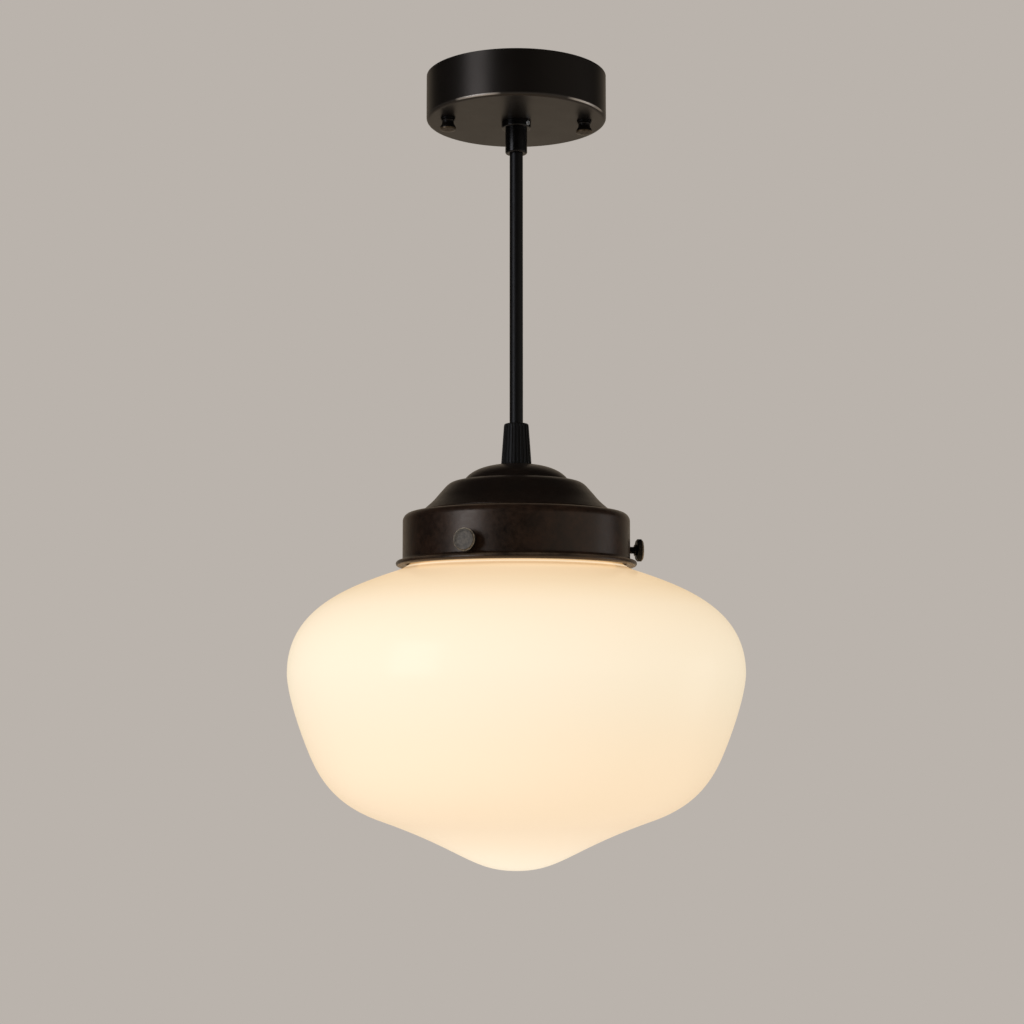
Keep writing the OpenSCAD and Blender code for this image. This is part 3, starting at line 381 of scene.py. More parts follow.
def bronzeFinish():
    # Spun steel with a dark bronze lacquer: near black with soft rust-brown clouds, the fine rings
    # left by the spinning roller, and a satin shine that runs along the rings. The brown is full on
    # the band, a painted reflection of the warm room, and faint above it, a painted shade on the
    # dome and bell. Round each bend that stands proud a pale metallic line is painted, marked by a
    # point
    # attribute of the holder: a painted highlight, and lacquer rubbed thin.
    settings = {
        # the pale colour is that of the line round the proud bends: a painted highlight, and rubbed
        # lacquer
        "dark": "#030202", "brown": "#2b190e", "bareAndHighlight": "#7d6d5b", "sheen": "#ffeedd",
        "cloud": 16, "mottle": 2.6, "mottleDepth": 0.04, "ring": 0.35, "ringDepth": 0.006,  # mm
        # the brown is full on the band, a painted reflection, and cut above it, a painted shade
        "bandTop": 29,  # mm above the lip
        "brownAbove": 0.2,  # share of the brown that is left above the band
        "spread": {"From Min": 0.06, "From Max": 0.48},
        "wearAndHighlight": {"From Min": 0.35, "From Max": 0.6, "To Min": 0.05, "To Max": 0.4},
        "gloss": {"To Min": 0.2, "To Max": 0.5},
    }
    material, tree, place = newMaterial("lacqueredSpunSteel")
    apart = addNode(tree, "SeparateXYZ", None, {0: place})
    radius = fromAxis(tree, place)[1]
    rings = addNode(tree, "CombineXYZ", None, {"X": radius, "Z": apart.outputs["Z"]})
    ringNoise = addNode(tree, "TexNoise", {"Scale": 1 / settings["ring"], "Detail": 2},
                        {"Vector": rings.outputs[0]})
    mottle = addNode(tree, "TexNoise",
                     {"Scale": 1 / settings["mottle"], "Detail": 6, "Roughness": 0.6},
                     {"Vector": place})
    cloud = addNode(tree, "TexNoise", {"Scale": 1 / settings["cloud"], "Detail": 4},
                    {"Vector": place})
    mixed = addNode(tree, "Math", {"operation": "MULTIPLY"},
                    {0: mottle.outputs["Fac"], 1: cloud.outputs["Fac"]})
    spread = addNode(tree, "MapRange", settings["spread"], {"Value": mixed.outputs[0]})
    # painted reflection on the band and painted shade above it: the brown is cut above the band's
    # top
    bandTop = nodeBox("holder")[0][2] + settings["bandTop"]
    band = addNode(tree, "MapRange", {"From Min": bandTop + 3, "From Max": bandTop - 2,
                                      "To Min": settings["brownAbove"]},
                   {"Value": apart.outputs["Z"]})
    share = addNode(tree, "Math", {"operation": "MULTIPLY"},
                    {0: spread.outputs[0], 1: band.outputs[0]})
    lacquer = addNode(tree, "Mix", {"data_type": "RGBA", 6: colour(settings["dark"]),
                                    7: colour(settings["brown"])}, {0: share.outputs[0]})
    # painted highlight, and rubbed lacquer: a pale metallic line round each proud bend
    bendWearAndHighlight = addNode(tree, "Attribute", {"attribute_name": "bendWearAndHighlight"})
    patchy = addNode(tree, "MapRange", settings["wearAndHighlight"], {"Value": cloud.outputs["Fac"]})
    wearAndHighlight = addNode(tree, "Math", {"operation": "MULTIPLY"},
                   {0: bendWearAndHighlight.outputs["Fac"], 1: patchy.outputs[0]})
    tint = addNode(tree, "Mix", {"data_type": "RGBA", 7: colour(settings["bareAndHighlight"])},
                   {0: wearAndHighlight.outputs[0], 6: lacquer.outputs[2]})
    gloss = addNode(tree, "MapRange", settings["gloss"], {"Value": mottle.outputs["Fac"]})
    ringRelief = addNode(tree, "Bump", {"Strength": 0.6, "Distance": settings["ringDepth"] * mm},
                         {"Height": ringNoise.outputs["Fac"]})
    relief = addNode(tree, "Bump", {"Strength": 0.9, "Distance": settings["mottleDepth"] * mm},
                     {"Height": mottle.outputs["Fac"], "Normal": ringRelief.outputs[0]})
    shader = addNode(tree, "BsdfPrincipled",
                     {"Specular IOR Level": 0.6, "Specular Tint": colour(settings["sheen"]),
                      "Coat Weight": 0.1, "Coat Roughness": 0.2},
                     {"Base Color": tint.outputs[2], "Roughness": gloss.outputs[0],
                      "Metallic": wearAndHighlight.outputs[0], "Normal": relief.outputs[0]})
    finishMaterial(tree, shader)
    return material


def blackenedBrass(name, bodyLength, bareHex, wornHex):
    # Turned brass, blackened: near black on the shank and in the recesses, a pale brown where the
    # outer edge has rubbed bare, and a worn, patchy grey bloom over the end face. The attribute
    # "along" is the distance from the piece's inner end, and bodyLength where its end face lies.
    settings = {
        "black": "#0d0a08",
        "scuff": 1.7, "scuffDepth": 0.015,  # mm
        "edge": 2,  # mm before the end face over which the colours change
        "bloom": {"From Min": 0.36, "From Max": 0.66, "To Min": 0.4, "To Max": 1.15,
                  "clamp": False},
        "gloss": {"To Min": 0.28, "To Max": 0.46},
    }
    material, tree, place = newMaterial(name)
    along = addNode(tree, "Attribute", {"attribute_name": "along"})
    zone = addNode(tree, "MapRange",
                   {"From Min": bodyLength - settings["edge"], "From Max": bodyLength},
                   {"Value": along.outputs["Fac"]})
    bands = addNode(tree, "ValToRGB", None, {"Fac": zone.outputs[0]})
    fillRamp(bands, [(0.45, settings["black"]), (0.68, bareHex), (0.86, bareHex), (0.93, wornHex)])
    scuffs = addNode(tree, "TexNoise",
                     {"Scale": 1 / settings["scuff"], "Detail": 6, "Roughness": 0.6},
                     {"Vector": place})
    patchy = addNode(tree, "MapRange", settings["bloom"], {"Value": scuffs.outputs["Fac"]})
    tint = addNode(tree, "Mix", {"data_type": "RGBA", 6: colour(settings["black"])},
                   {0: patchy.outputs[0], 7: bands.outputs["Color"]})
    gloss = addNode(tree, "MapRange", settings["gloss"], {"Value": scuffs.outputs["Fac"]})
    relief = addNode(tree, "Bump", {"Strength": 0.7, "Distance": settings["scuffDepth"] * mm},
                     {"Height": scuffs.outputs["Fac"]})
    shader = addNode(tree, "BsdfPrincipled", {"Metallic": 0.5},
                     {"Base Color": tint.outputs[2], "Roughness": gloss.outputs[0],
                      "Normal": relief.outputs[0]})
    finishMaterial(tree, shader)
    return material


def opalGlass():
    # Blown opal glass, fire-polished, with the lamp lit inside: a milky cream that glows evenly.
    # The glow is peach up under the holder, where the lamp's housing keeps its light back, cream
    # over the belly, a little deeper above the hollow and palest at the tip. Light that spills from
    # the neck lifts the shoulder and draws a thin bright line just under the lip. The clear skin
    # over the opal core softens reflections and dims the glow a little towards the outline.
    settings = {
        "glass": "#c4beb4", "skin": "#fffcf8", "skinWeight": 0.26, "roughness": 0.2,
        "strength": 1.05,
        "glow": [  # share of the height from tip to lip, colour of the glow
            (0.0, "#d8d1bd"), (0.1, "#d5c0a4"), (0.24, "#cbb391"), (0.45, "#c4b192"),
            (0.66, "#c1b8a1"), (0.86, "#bdaa8b"), (0.94, "#bb9e6e"), (1.0, "#af834b"),
        ],
        "spillHeight": 14,  # mm below the lip
        "spill": [  # share of that height from its foot up, colour that the spilt light adds
            (0.0, "#000000"), (0.27, "#303029"), (0.5, "#4b4b42"), (0.67, "#616156"),
            (0.76, "#555549"), (0.81, "#20201b"), (0.87, "#6a6a60"), (0.91, "#b4b4ac"),
            (0.96, "#959588"), (1.0, "#000000"),
        ],
    }
    material, tree, place = newMaterial("opalGlassLit")
    tip = nodeBox("glass_shade")[0][2]
    lip = nodeBox("holder")[0][2]
    apart = addNode(tree, "SeparateXYZ", None, {0: place})
    height = addNode(tree, "MapRange", {"From Min": tip, "From Max": lip - 2},
                     {"Value": apart.outputs["Z"]})
    glow = addNode(tree, "ValToRGB", None, {"Fac": height.outputs[0]})
    glow.color_ramp.interpolation = "B_SPLINE"
    fillRamp(glow, settings["glow"])
    edge = addNode(tree, "MapRange", {"From Min": lip - settings["spillHeight"], "From Max": lip},
                   {"Value": apart.outputs["Z"]})
    spill = addNode(tree, "ValToRGB", None, {"Fac": edge.outputs[0]})
    fillRamp(spill, settings["spill"])
    light = addNode(tree, "Mix", {"data_type": "RGBA", "blend_type": "ADD", 0: 1},
                    {6: glow.outputs["Color"], 7: spill.outputs["Color"]})
    shader = addNode(tree, "BsdfPrincipled",
                     {"Base Color": colour(settings["glass"]), "Roughness": settings["roughness"],
                      "Specular IOR Level": 0.03, "Coat Weight": settings["skinWeight"],
                      "Coat Roughness": settings["roughness"],
                      "Coat Tint": colour(settings["skin"]),
                      "Emission Strength": settings["strength"]},
                     {"Emission Color": light.outputs[2]})
    finishMaterial(tree, shader)
    return material


materials["canopy_steel"] = canopyPaint()
materials["holder_steel"] = bronzeFinish()
materials["opal_glass"] = opalGlass()
# a nut is 5.8 mm long from its foot, and a thumbscrew 12.5 mm from the end of its shank
materials["nut_steel"] = blackenedBrass("blackenedBrassNut", 5.8, "#66563f", "#453c31")
materials["thumbscrew_steel"] = blackenedBrass("blackenedBrassThumbscrew", 12.5,
                                               "#8f8472", "#4d4840")
# moulded nylon: black, the upper grip glossy from a polished mould and the ribbed one matt
materials["black_nylon"] = speckled("polishMouldedNylon", "#030303", "#060504", 0.5, 0.22,
                                    bump=0.006, specular=0.35)
mattNylon = speckled("mattMouldedNylon", "#030302", "#080605", 0.35, 0.5, bump=0.012, specular=0.35)
# extruded PVC sheath: soft black with a faint sheen
materials["cord_sheath"] = speckled("extrudedPvcSheath", "#030303", "#060505", 1.1, 0.42,
                                    specular=0.32)

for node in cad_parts.values():
    slotName = node.data.materials[0].name
    node.material_slots[0].material = materials[slotName]
print("materials made:", len(materials))

# The cord hangs straight down from the upper grip. It is made of two straight stretches: the first
# ends just under the grip, where the real cord bends, and the rest hangs from there to the ribbed
# grip.
cordShape = {
    "diameter": 7.5,
    "sides": 40,
    "firstBend": 52.3,  # depth of the front-to-back bend
    "secondBend": 68.3,  # depth of the side-to-side bend
    "split": 58.3,  # depth where the first stretch ends
    "step": 0.8,  # from one ring of the sheath to the next
}
# Points of the free stretch, in metres: the CAD cord's own, with the split before them
cordRoute = [
    (0, 0, -0.0583), (0, 0, -0.0683), (0, 0, -0.0763), (0, 0, -0.0843),
    (0, 0, -0.0923), (0, 0, -0.1013), (0, 0, -0.1103), (0, 0, -0.1193),
    (0, 0, -0.1283), (0, 0, -0.1373), (0, 0, -0.1463), (0, 0, -0.1553),
    (0, 0, -0.1643), (0, 0, -0.1743), (0, 0, -0.1863), (0, 0, -0.1983),
]


def cordTube(name, topZ, footZ, shape):
    # A round sheath along the vertical: rings one step apart, with both ends closed
    radius = shape["diameter"] / 2
    heights = np.linspace(topZ, footZ, int(round((topZ - footZ) / shape["step"])) + 1)
    wall = np.stack([np.full_like(heights, radius), heights], axis=1)
    profile = np.vstack([[0, topZ], wall, [0, footZ]])
    points, quads = turned(profile, shape["sides"], closed=False)
    return meshPiece(name, points, quads, materials["cord_sheath"])


cordTop = cordTube("cordTop", nodeBox("cord_top")[1][2], -cordShape["split"], cordShape)
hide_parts("cord_top", "cord_bend")
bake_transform(cordTop)
pendantCord = cordTube("pendantCord", -cordShape["split"], cordRoute[-1][2] / mm, cordShape)
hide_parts("cord")
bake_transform(pendantCord)
print("cord made")

# Ribbed grip on top of the holder: a cone with a rounded top edge and grooves between its ribs
gripShape = {
    "topRadius": 6.85,
    "footRadius": 8.5,
    "bore": 3.85,
    "boreEdge": 0.3,
    "edge": 1,
    "ribs": 24,
    "grooveDepth": 0.5,
    "grooveSlope": 7,  # how steep the sides of a groove are
    "grooveLevel": 0.35,  # level of the wave of ribs at which a groove starts
    "grooveFade": 1.6,  # height over which the grooves end under the top
}


def makeLowerGrip(shape):
    # a cone: the radius changes evenly with the height, up to a quarter circle at the top
    low, high = nodeBox("lower_grip")
    topZ, footZ = high[2], low[2]
    edge, bore = shape["edge"], shape["bore"]
    heights = np.linspace(footZ + 0.4, topZ - edge, 40)
    share = (heights - footZ) / (topZ - footZ)
    radii = shape["footRadius"] + (shape["topRadius"] - shape["footRadius"]) * share
    wall = np.stack([radii, heights], axis=1)
    profile = np.vstack([
        [bore, footZ], [radii[0] - 0.5, footZ], [radii[0] - 0.12, footZ + 0.1], wall[:-1],
        arcPoints((shape["topRadius"] - edge, topZ - edge), edge, 0, 90, 8),
        [bore + shape["boreEdge"], topZ], [bore, topZ - shape["boreEdge"]],
    ])

    def ribs(radius, height, angle):
        # each groove is a rounded trough: depth times a smoothed square wave of the turn. It fades
        # out over the rounded top, and the bore stays plain.
        wave = np.cos(shape["ribs"] * angle)
        trough = 1 / (1 + np.exp(-shape["grooveSlope"] * (wave - shape["grooveLevel"])))
        reach = np.clip((topZ - 0.15 - height) / shape["grooveFade"], 0, 1) * (radius > bore + 1.6)
        return radius - shape["grooveDepth"] * trough * reach, height

    points, quads = turned(profile, 24 * shape["ribs"], reshape=ribs)
    piece = meshPiece("lowerGrip", points, quads, mattNylon, 50)
    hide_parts("lower_grip")
    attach(piece, "pendant")


makeLowerGrip(gripShape)
print("lower grip made")

# The holder: a low dome, a bell, a straight band and a rolled lip, spun from one sheet
holderShape = {
    "wall": 1,
    "bore": 5.1,
    "seatRadius": 9,
    "domeRadius": 29.25,
    "domeHeight": 9.2,
    "domeBend": (-4, 0.43, -63, 0.26),  # headings and pulls, as bendPoints takes them
    "ledge": 1,  # width of the step between the dome and the bell
    "bellRadius": 52.25,
    "bellHeight": 18.1,
    "bellWaist": 0.34,  # how far down the bell is steepest, as a share of its height
    "upperBend": (0, 0.53, -48.5, 0.4),
    "lowerBend": (-48.5, 0.39, -40, 0.64),
    "crease": 1.4,  # how far the bell's foot ends above the shoulder
    "shoulderEdge": 4.6,
    "bandRadius": 63,
    "bandHeight": 26.6,
    "lipBend": 1.4,  # radius of the bend between the band and its lip
    "lipThickness": 3.1,
    "lipDrop": 0.4,  # how far the bead hangs below the sheet's edge
    "screwUp": 9.5,
    "screwTurns": (-113, 7, 127),
    "screwHole": 2.3,  # radius of the hole that each thumbscrew passes
    "dimpleRadius": 3.6,
    "dimpleDepth": 0.45,
    "collarRadius": 3.5,
    "collarLength": 1.4,
    "collarInside": 1.2,  # how much of the collar stands inside the sheet
    "steps": 288,
}


def pierceSheet(points, quads, rows, turn, height, radius, steps, reach=(4, 2)):
    # A round hole along a heading, through the outer and the inner face of a turned sheet. Its
    # middle is at the two profile rows, which count on in opposite directions. A block of quads
    # that reaches so many rows and columns each way goes from each face. The points on the rims of
    # both blocks move onto the circle side = radius cos a, height = radius sin a, and a ring of
    # quads joins them. Gives the quads with that ring, and the numbers of those that go.
    column = round(turn * steps / 360)
    down, along = [np.arange(-r, r) for r in reach]
    rim = [(-reach[0], j) for j in along] + [(i, reach[1]) for i in down]
    rim = np.array(rim + [(-i, -j) for i, j in rim])
    columns = (column + rim[:, 1]) % steps
    out = np.array([*heading(turn), 0])
    side = np.array([-out[1], out[0], 0])
    rims, gone = [], []
    for row, way in zip(rows, (1, -1)):
        ring = (row + way * rim[:, 0]) * steps + columns
        place = points[ring]
        across, up = place @ side, place[:, 2] - height
        shrink = radius / np.hypot(across, up)
        depth = np.sqrt((place[:, :2] ** 2).sum(axis=1) - (across * shrink) ** 2)
        points[ring] = (depth[:, None] * out + (across * shrink)[:, None] * side
                        + (height + up * shrink)[:, None] * [0, 0, 1])
        rims.append(ring)
        block = (row + down)[:, None] * steps + (column + along)[None, :] % steps
        gone.append(block.ravel())
    outer, inner = rims
    wall = np.stack([outer, np.roll(outer, -1), np.roll(inner, -1), inner], axis=-1)
    return np.vstack([quads, wall]), np.concatenate(gone)


def makeHolder(shape):
    # The sheet's outer face runs from the bore over the dome and the bell to the foot of the band.
    # The rolled lip follows, and then the same path again, moved inwards by the wall.
    low, high = nodeBox("holder")
    seatZ, lipZ, lipRadius = high[2], low[2] - shape["lipDrop"], high[0]
    domeFoot = (shape["domeRadius"], seatZ - shape["domeHeight"])
    bellZ = domeFoot[1] - shape["bellHeight"]
    bandRadius = shape["bandRadius"]
    bandFoot = bellZ - shape["bandHeight"] + 0.3
    bellTop = (domeFoot[0] + shape["ledge"], domeFoot[1] - 0.1)
    bellWaist = ((shape["domeRadius"] + shape["bellRadius"]) / 2 + shape["ledge"],
                 domeFoot[1] - shape["bellWaist"] * shape["bellHeight"])
    bellFoot = (shape["bellRadius"], bellZ + shape["crease"])
    edge, bend = shape["shoulderEdge"], shape["lipBend"]
    bead = shape["lipThickness"] / 2
    seat = (shape["seatRadius"], seatZ)
    bandHeights = np.linspace(bellZ - edge, bandFoot + bend, 34)[1:]
    sheet = np.vstack([
        [shape["bore"], seatZ], seat,
        bendPoints(seat, domeFoot, shape["domeBend"], 30),
        [domeFoot[0] + 0.22, domeFoot[1] - 0.16], bellTop,
        bendPoints(bellTop, bellWaist, shape["upperBend"], 26),
        bendPoints(bellWaist, bellFoot, shape["lowerBend"], 34),
        [bellFoot[0] + 0.25, bellZ + 0.35], [bellFoot[0] + 0.6, bellZ], [bellFoot[0] + 1.4, bellZ],
        arcPoints((bandRadius - edge, bellZ - edge), edge, 90, 0, 16),
        np.stack([np.full(len(bandHeights), bandRadius), bandHeights], axis=1),
    ])
    lip = np.vstack([
        arcPoints((bandRadius + bend, bandFoot + bend), bend, 180, 270, 8)[1:],
        arcPoints((lipRadius - bead, lipZ + bead), bead, 90, -90, 20),
        [bandRadius + 1.6, lipZ], [bandRadius - shape["wall"], lipZ + 1.9],
    ])
    inside = offsetPath(sheet[1:], shape["wall"])[::-1]
    profile = np.vstack([sheet, lip, inside, [shape["bore"], seatZ - shape["wall"]]])
    screwZ = low[2] + shape["screwUp"]

    def dimples(radius, height, angle):
        # round each thumbscrew the sheet is drawn in a little: depth times a soft bell of the
        # distance from the screw's axis, on the band's outside only
        for turn in shape["screwTurns"]:
            around = (angle - math.radians(turn) + np.pi) % (2 * np.pi) - np.pi
            distance = np.hypot(around * bandRadius, height - screwZ)
            drawn = shape["dimpleDepth"] * np.exp(-(distance / shape["dimpleRadius"]) ** 4)
            radius = radius - drawn * (radius > bandRadius - 0.5)
        return radius, height

    points, quads = turned(profile, shape["steps"], reshape=dimples)
    screwRow = len(sheet) - len(bandHeights) + int(np.argmin(np.abs(bandHeights - screwZ)))
    rows = (screwRow, 2 * len(sheet) + len(lip) - 1 - screwRow)
    hole, outer, length = shape["screwHole"], shape["collarRadius"], shape["collarLength"]
    collar = np.array([[hole, 0], [outer - 0.1, 0], [outer, 0.1], [outer, length], [hole, length]])
    collarStart = bandRadius - shape["wall"] - shape["collarInside"]
    collarPoints, collarQuads = turned(collar + [0, collarStart], 48)
    pierced, collars = [], []
    for turn in shape["screwTurns"]:
        quads, block = pierceSheet(points, quads, rows, turn, screwZ, hole, shape["steps"])
        pierced.append(block)
        collars.append((layAlong(collarPoints, turn, screwZ), collarQuads))
    quads = np.delete(quads, np.concatenate(pierced), axis=0)
    parts = [(points, quads), *collars]
    piece = meshPiece("holderSpun", *joinParts(*parts), materials["holder_steel"], 35)
    # round these bends the holder's finish paints a pale line: a painted highlight, and rubbed
    # lacquer
    proudBends = np.array([  # radius, height and reach of each bend that stands proud
        (bellTop[0] + 1, bellTop[1] - 0.2, 1),
        (bandRadius - 0.72 * edge, bellZ - 0.2, 1.2),
        (lipRadius - 0.3 * bead, lipZ + 1.7 * bead, 0.8),
    ])

    def bendWearAndHighlight(place):
        # a soft bell of the distance from the nearest proud bend
        away = np.hypot(np.hypot(place[:, 0], place[:, 1])[:, None] - proudBends[:, 0],
                        place[:, 2][:, None] - proudBends[:, 1])
        return np.exp(-(away / proudBends[:, 2]) ** 2).max(axis=1)

    keepValue(piece, "bendWearAndHighlight", bendWearAndHighlight)
    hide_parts("holder")
    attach(piece, "pendant")
    return screwZ


screwZ = makeHolder(holderShape)
print("holder made")

# Thumbscrews: a threaded shank, a shoulder and a round head with fine knurls between two rims
screwShape = {
    "shankRadius": 2.08,
    "shankLength": 8.9,
    "pitch": 0.794,
    "threadDepth": 0.3,
    "shoulder": 1,
    "headRadius": 6.25,
    "headThickness": 3.6,
    "rimEdge": 0.4,
    "knurls": 48,
    "knurlDepth": 0.28,
    "knurlStart": 0.7,  # distance of the knurls from either face of the head
}


def makeThumbscrew(side, turn, shape):
    # A straight shank, a shoulder, and a head whose rims are quarter circles. The box of the right
    # thumbscrew's node ends at x = headOut cos a + headRadius sin a, with a its heading.
    high = nodeBox("thumbscrew_right")[1]
    turnRight = math.radians(holderShape["screwTurns"][1])
    headOut = (high[0] - shape["headRadius"] * math.sin(turnRight)) / math.cos(turnRight)
    headIn = headOut - shape["headThickness"]
    start = headIn - shape["shankLength"]
    core = shape["shankRadius"]
    rows = np.arange(start, headIn - shape["shoulder"], shape["pitch"] / 8)
    shank = np.vstack([[0, start], np.stack([np.full_like(rows, core), rows], axis=1)])
    head = shape["headRadius"]
    rim, edge = head - 2 * shape["knurlDepth"], shape["rimEdge"]
    knurlIn, knurlOut = headIn + shape["knurlStart"], headOut - shape["knurlStart"]
    headProfile = np.vstack([
        [core + 1, headIn - shape["shoulder"]], [core + 1.05, headIn - 0.25], [core + 1.3, headIn],
        [rim - 0.7, headIn], arcPoints((rim - edge, headIn + edge), edge, -90, 0, 5),
        [rim, knurlIn - 0.08],
        np.stack([np.full(9, head), np.linspace(knurlIn, knurlOut, 9)], axis=1),
        [rim, knurlOut + 0.08], arcPoints((rim - edge, headOut - edge), edge, 0, 90, 5),
        [rim - 0.8, headOut], [rim - 1.1, headOut - 0.1], [rim * 0.5, headOut - 0.04],
        [0, headOut - 0.02],
    ])
    profile = np.vstack([shank, [core, headIn - shape["shoulder"]], headProfile])

    def threadAndKnurls(radius, height, angle):
        # thread: a triangle wave of height over pitch minus the share of the turn; knurls: a
        # rounded wave of the turn on the head's widest part
        wave = np.abs(((height / shape["pitch"] - angle / (2 * np.pi)) % 1) * 2 - 1)
        onShank = (np.abs(radius - core) < 0.01) & (height > start + 0.5)
        onShank &= height < headIn - shape["shoulder"] - 0.1
        radius = radius - onShank * shape["threadDepth"] * wave
        onKnurl = radius > head - 0.01
        ridge = 0.5 - 0.5 * np.cos(shape["knurls"] * angle)
        return radius - onKnurl * shape["knurlDepth"] * ridge, height

    points, quads = turned(profile, 8 * shape["knurls"], closed=False, reshape=threadAndKnurls)
    placed = layAlong(points, turn, screwZ)
    piece = meshPiece("thumbscrew" + side.capitalize(), placed, quads,
                      materials["thumbscrew_steel"], 50)
    keepValue(piece, "along", lambda place: place[:, :2] @ heading(turn) - start)
    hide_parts("thumbscrew_" + side)
    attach(piece, "thumbscrew_" + side)


for side, turn in zip(("front", "right", "back"), holderShape["screwTurns"]):
    makeThumbscrew(side, turn, screwShape)
print("thumbscrews made")

# Nuts under the canopy: a narrow waist that flares into a round head with a low dome
nutShape = {
    "height": 5.8,
    "footRadius": 3.7,
    "footBend": (-125, 0.5, -90, 0.4),
    "waistRadius": 3.3,
    "flareBend": (-90, 0.45, -86, 0.45),
    "headRadius": 4.5,
    "headEdge": 0.35,
    "dome": 0.9,
    "domeBend": (-160, 0.4, 180, 0.4),
    "bore": 2.2,
    "boreDepth": 5,
}


def makeCanopyNut(side, shape):
    # the outline runs down from the blind bore, round the foot and the waist, and out to the head
    low, high = nodeBox("canopy_nut_" + side)
    topZ = high[2]
    middleX, middleY = (low[:2] + high[:2]) / 2
    headZ = topZ - shape["height"]
    domeZ = headZ - shape["dome"]
    foot, waist = shape["footRadius"], shape["waistRadius"]
    head, edge = shape["headRadius"], shape["headEdge"]
    bore, boreZ = shape["bore"], topZ - shape["boreDepth"]
    waistFoot = (waist, topZ - shape["height"] / 4)
    profile = np.vstack([
        [0, boreZ], [bore, boreZ], [bore, topZ],
        [foot - 0.15, topZ], [foot, topZ - 0.15], [foot, topZ - 0.5],
        bendPoints((foot, topZ - 0.5), (waist, topZ - 1), shape["footBend"], 8), waistFoot,
        bendPoints(waistFoot, (head, headZ + 1), shape["flareBend"], 22),
        [head, headZ + edge], arcPoints((head - edge, headZ + edge), edge, 0, -75, 7)[1:],
        bendPoints((head - 0.45, headZ), (0, domeZ), shape["domeBend"], 16),
    ])
    points, quads = turned(profile, 96, closed=False)
    piece = meshPiece("canopyNut" + side.capitalize(), points + [middleX, middleY, 0], quads,
                      materials["nut_steel"], 50)
    keepValue(piece, "along", lambda place: topZ - place[:, 2])
    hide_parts("canopy_nut_" + side)
    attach(piece, "canopy_nut_" + side)


for side in ("left", "right"):
    makeCanopyNut(side, nutShape)
print("canopy nuts made")

# The glass: a flared rim and a neck inside the holder, a wide belly, a hollow and a blunt tip
glassShape = {
    "wall": 2.8,
    "rimRadius": 59.5,
    "neckRadius": 56.5,
    "rimHeight": 7.8,
    "neckHeight": 6,
    "rimEdge": 1.2,
    "neckBend": (-90, 0.31, -18.7, 0.39),
    "innerNeckBend": (161.3, 0.31, 90, 0.31),
    "shoulder": (0.3, 3.4),  # out from the lip and down from it
    "bellyDrop": 58.9,  # this and the other drops are below the lip
    "cornerRadius": 112.25,
    "cornerDrop": 105.2,
    "hollowRadius": 75,
    "hollowDrop": 138.95,
    "bends": [  # bend and steps from the shoulder to the belly, on to the corner, hollow and tip
        ((-18.7, 0.364, -90, 0.42), 60), ((-90, 0.237, -114.1, 0.278), 36),
        ((-114.1, 0.368, -160.4, 0.398), 44), ((-160.4, 0.616, 180, 0.307), 50),
    ],
    "waver": 0.12,  # how far the blown wall wanders from true
}


def makeGlass(shape):
    # The outline below the lip is a chain of bends from spot to spot, and the inner wall follows
    # it at the wall's distance. The neck leads up to the flared rim.
    low, high = nodeBox("glass_shade")
    holderLow, holderHigh = nodeBox("holder")
    lipZ, lipRadius = holderLow[2], holderHigh[0]
    rimTop = high[2]
    rimFoot = rimTop - shape["rimHeight"]
    rimR, neckR = shape["rimRadius"], shape["neckRadius"]
    edge, wall = shape["rimEdge"], shape["wall"]
    neckFoot = np.array([neckR, rimFoot - shape["neckHeight"]])
    shoulder = np.array([lipRadius + shape["shoulder"][0], lipZ - shape["shoulder"][1]])
    belly = (high[0], lipZ - shape["bellyDrop"])
    corner = (shape["cornerRadius"], lipZ - shape["cornerDrop"])
    hollow = (shape["hollowRadius"], lipZ - shape["hollowDrop"])
    tip = (0, low[2])
    spots = [shoulder, belly, corner, hollow, tip]
    below = np.vstack([bendPoints(a, b, bend, steps)
                       for a, b, (bend, steps) in zip(spots, spots[1:], shape["bends"])])
    top = np.vstack([
        arcPoints((rimR - edge, rimTop - edge), edge, 90, 0, 8),
        [rimR, rimFoot + 0.6], arcPoints((rimR - 0.6, rimFoot + 0.6), 0.6, 0, -90, 5)[1:],
        arcPoints((neckR + 1, rimFoot - 1), 1, 90, 180, 6),
        neckFoot,
        bendPoints(neckFoot, shoulder, shape["neckBend"], 22),
    ])
    innerWall = offsetPath(below[:-1:2], wall)
    innerNeck = np.array([neckR - wall, neckFoot[1]])
    inside = np.vstack([
        [0, tip[1] + wall],
        innerWall[::-1],
        bendPoints(innerWall[0], innerNeck, shape["innerNeckBend"], 22),
        [innerNeck[0], rimTop - edge],
        arcPoints((innerNeck[0] + edge, rimTop - edge), edge, 180, 90, 8)[1:],
    ])
    profile = np.vstack([top, below, inside])

    def waver(radius, height, angle):
        # a blown wall is never quite round: the radius wanders inwards in slow waves of the turn
        # and the height, and not at all at the neck or on the axis
        waves = np.sin(2 * angle + height / 41) + np.sin(3 * angle - height / 29 + 1.3)
        share = np.clip((lipZ - 6 - height) / 30, 0, 1) * np.clip(radius / 40, 0, 1)
        return radius - shape["waver"] * (0.5 + 0.25 * waves) * share, height

    points, quads = turned(profile, 256, reshape=waver)
    piece = meshPiece("glassShade", points, quads, materials["opal_glass"], 60)
    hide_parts("glass_shade")
    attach(piece, "pendant")


makeGlass(glassShape)
print("glass shade made")

# Studio: two tall soft windows, a pale room and a pale floor
windowColour = "#f4f6ff"
windows = {  # azimuth from the front towards +X, elevation, distance m, width m, height m, radiance
    "leftWindow": (-50, 8, 2.3, 1.0, 1.7, 2.6),
    "rightWindow": (100, -8, 2.3, 0.9, 1.2, 0.5),
}
middle = (np.array(cadLow) + np.array(cadHigh)) / 2


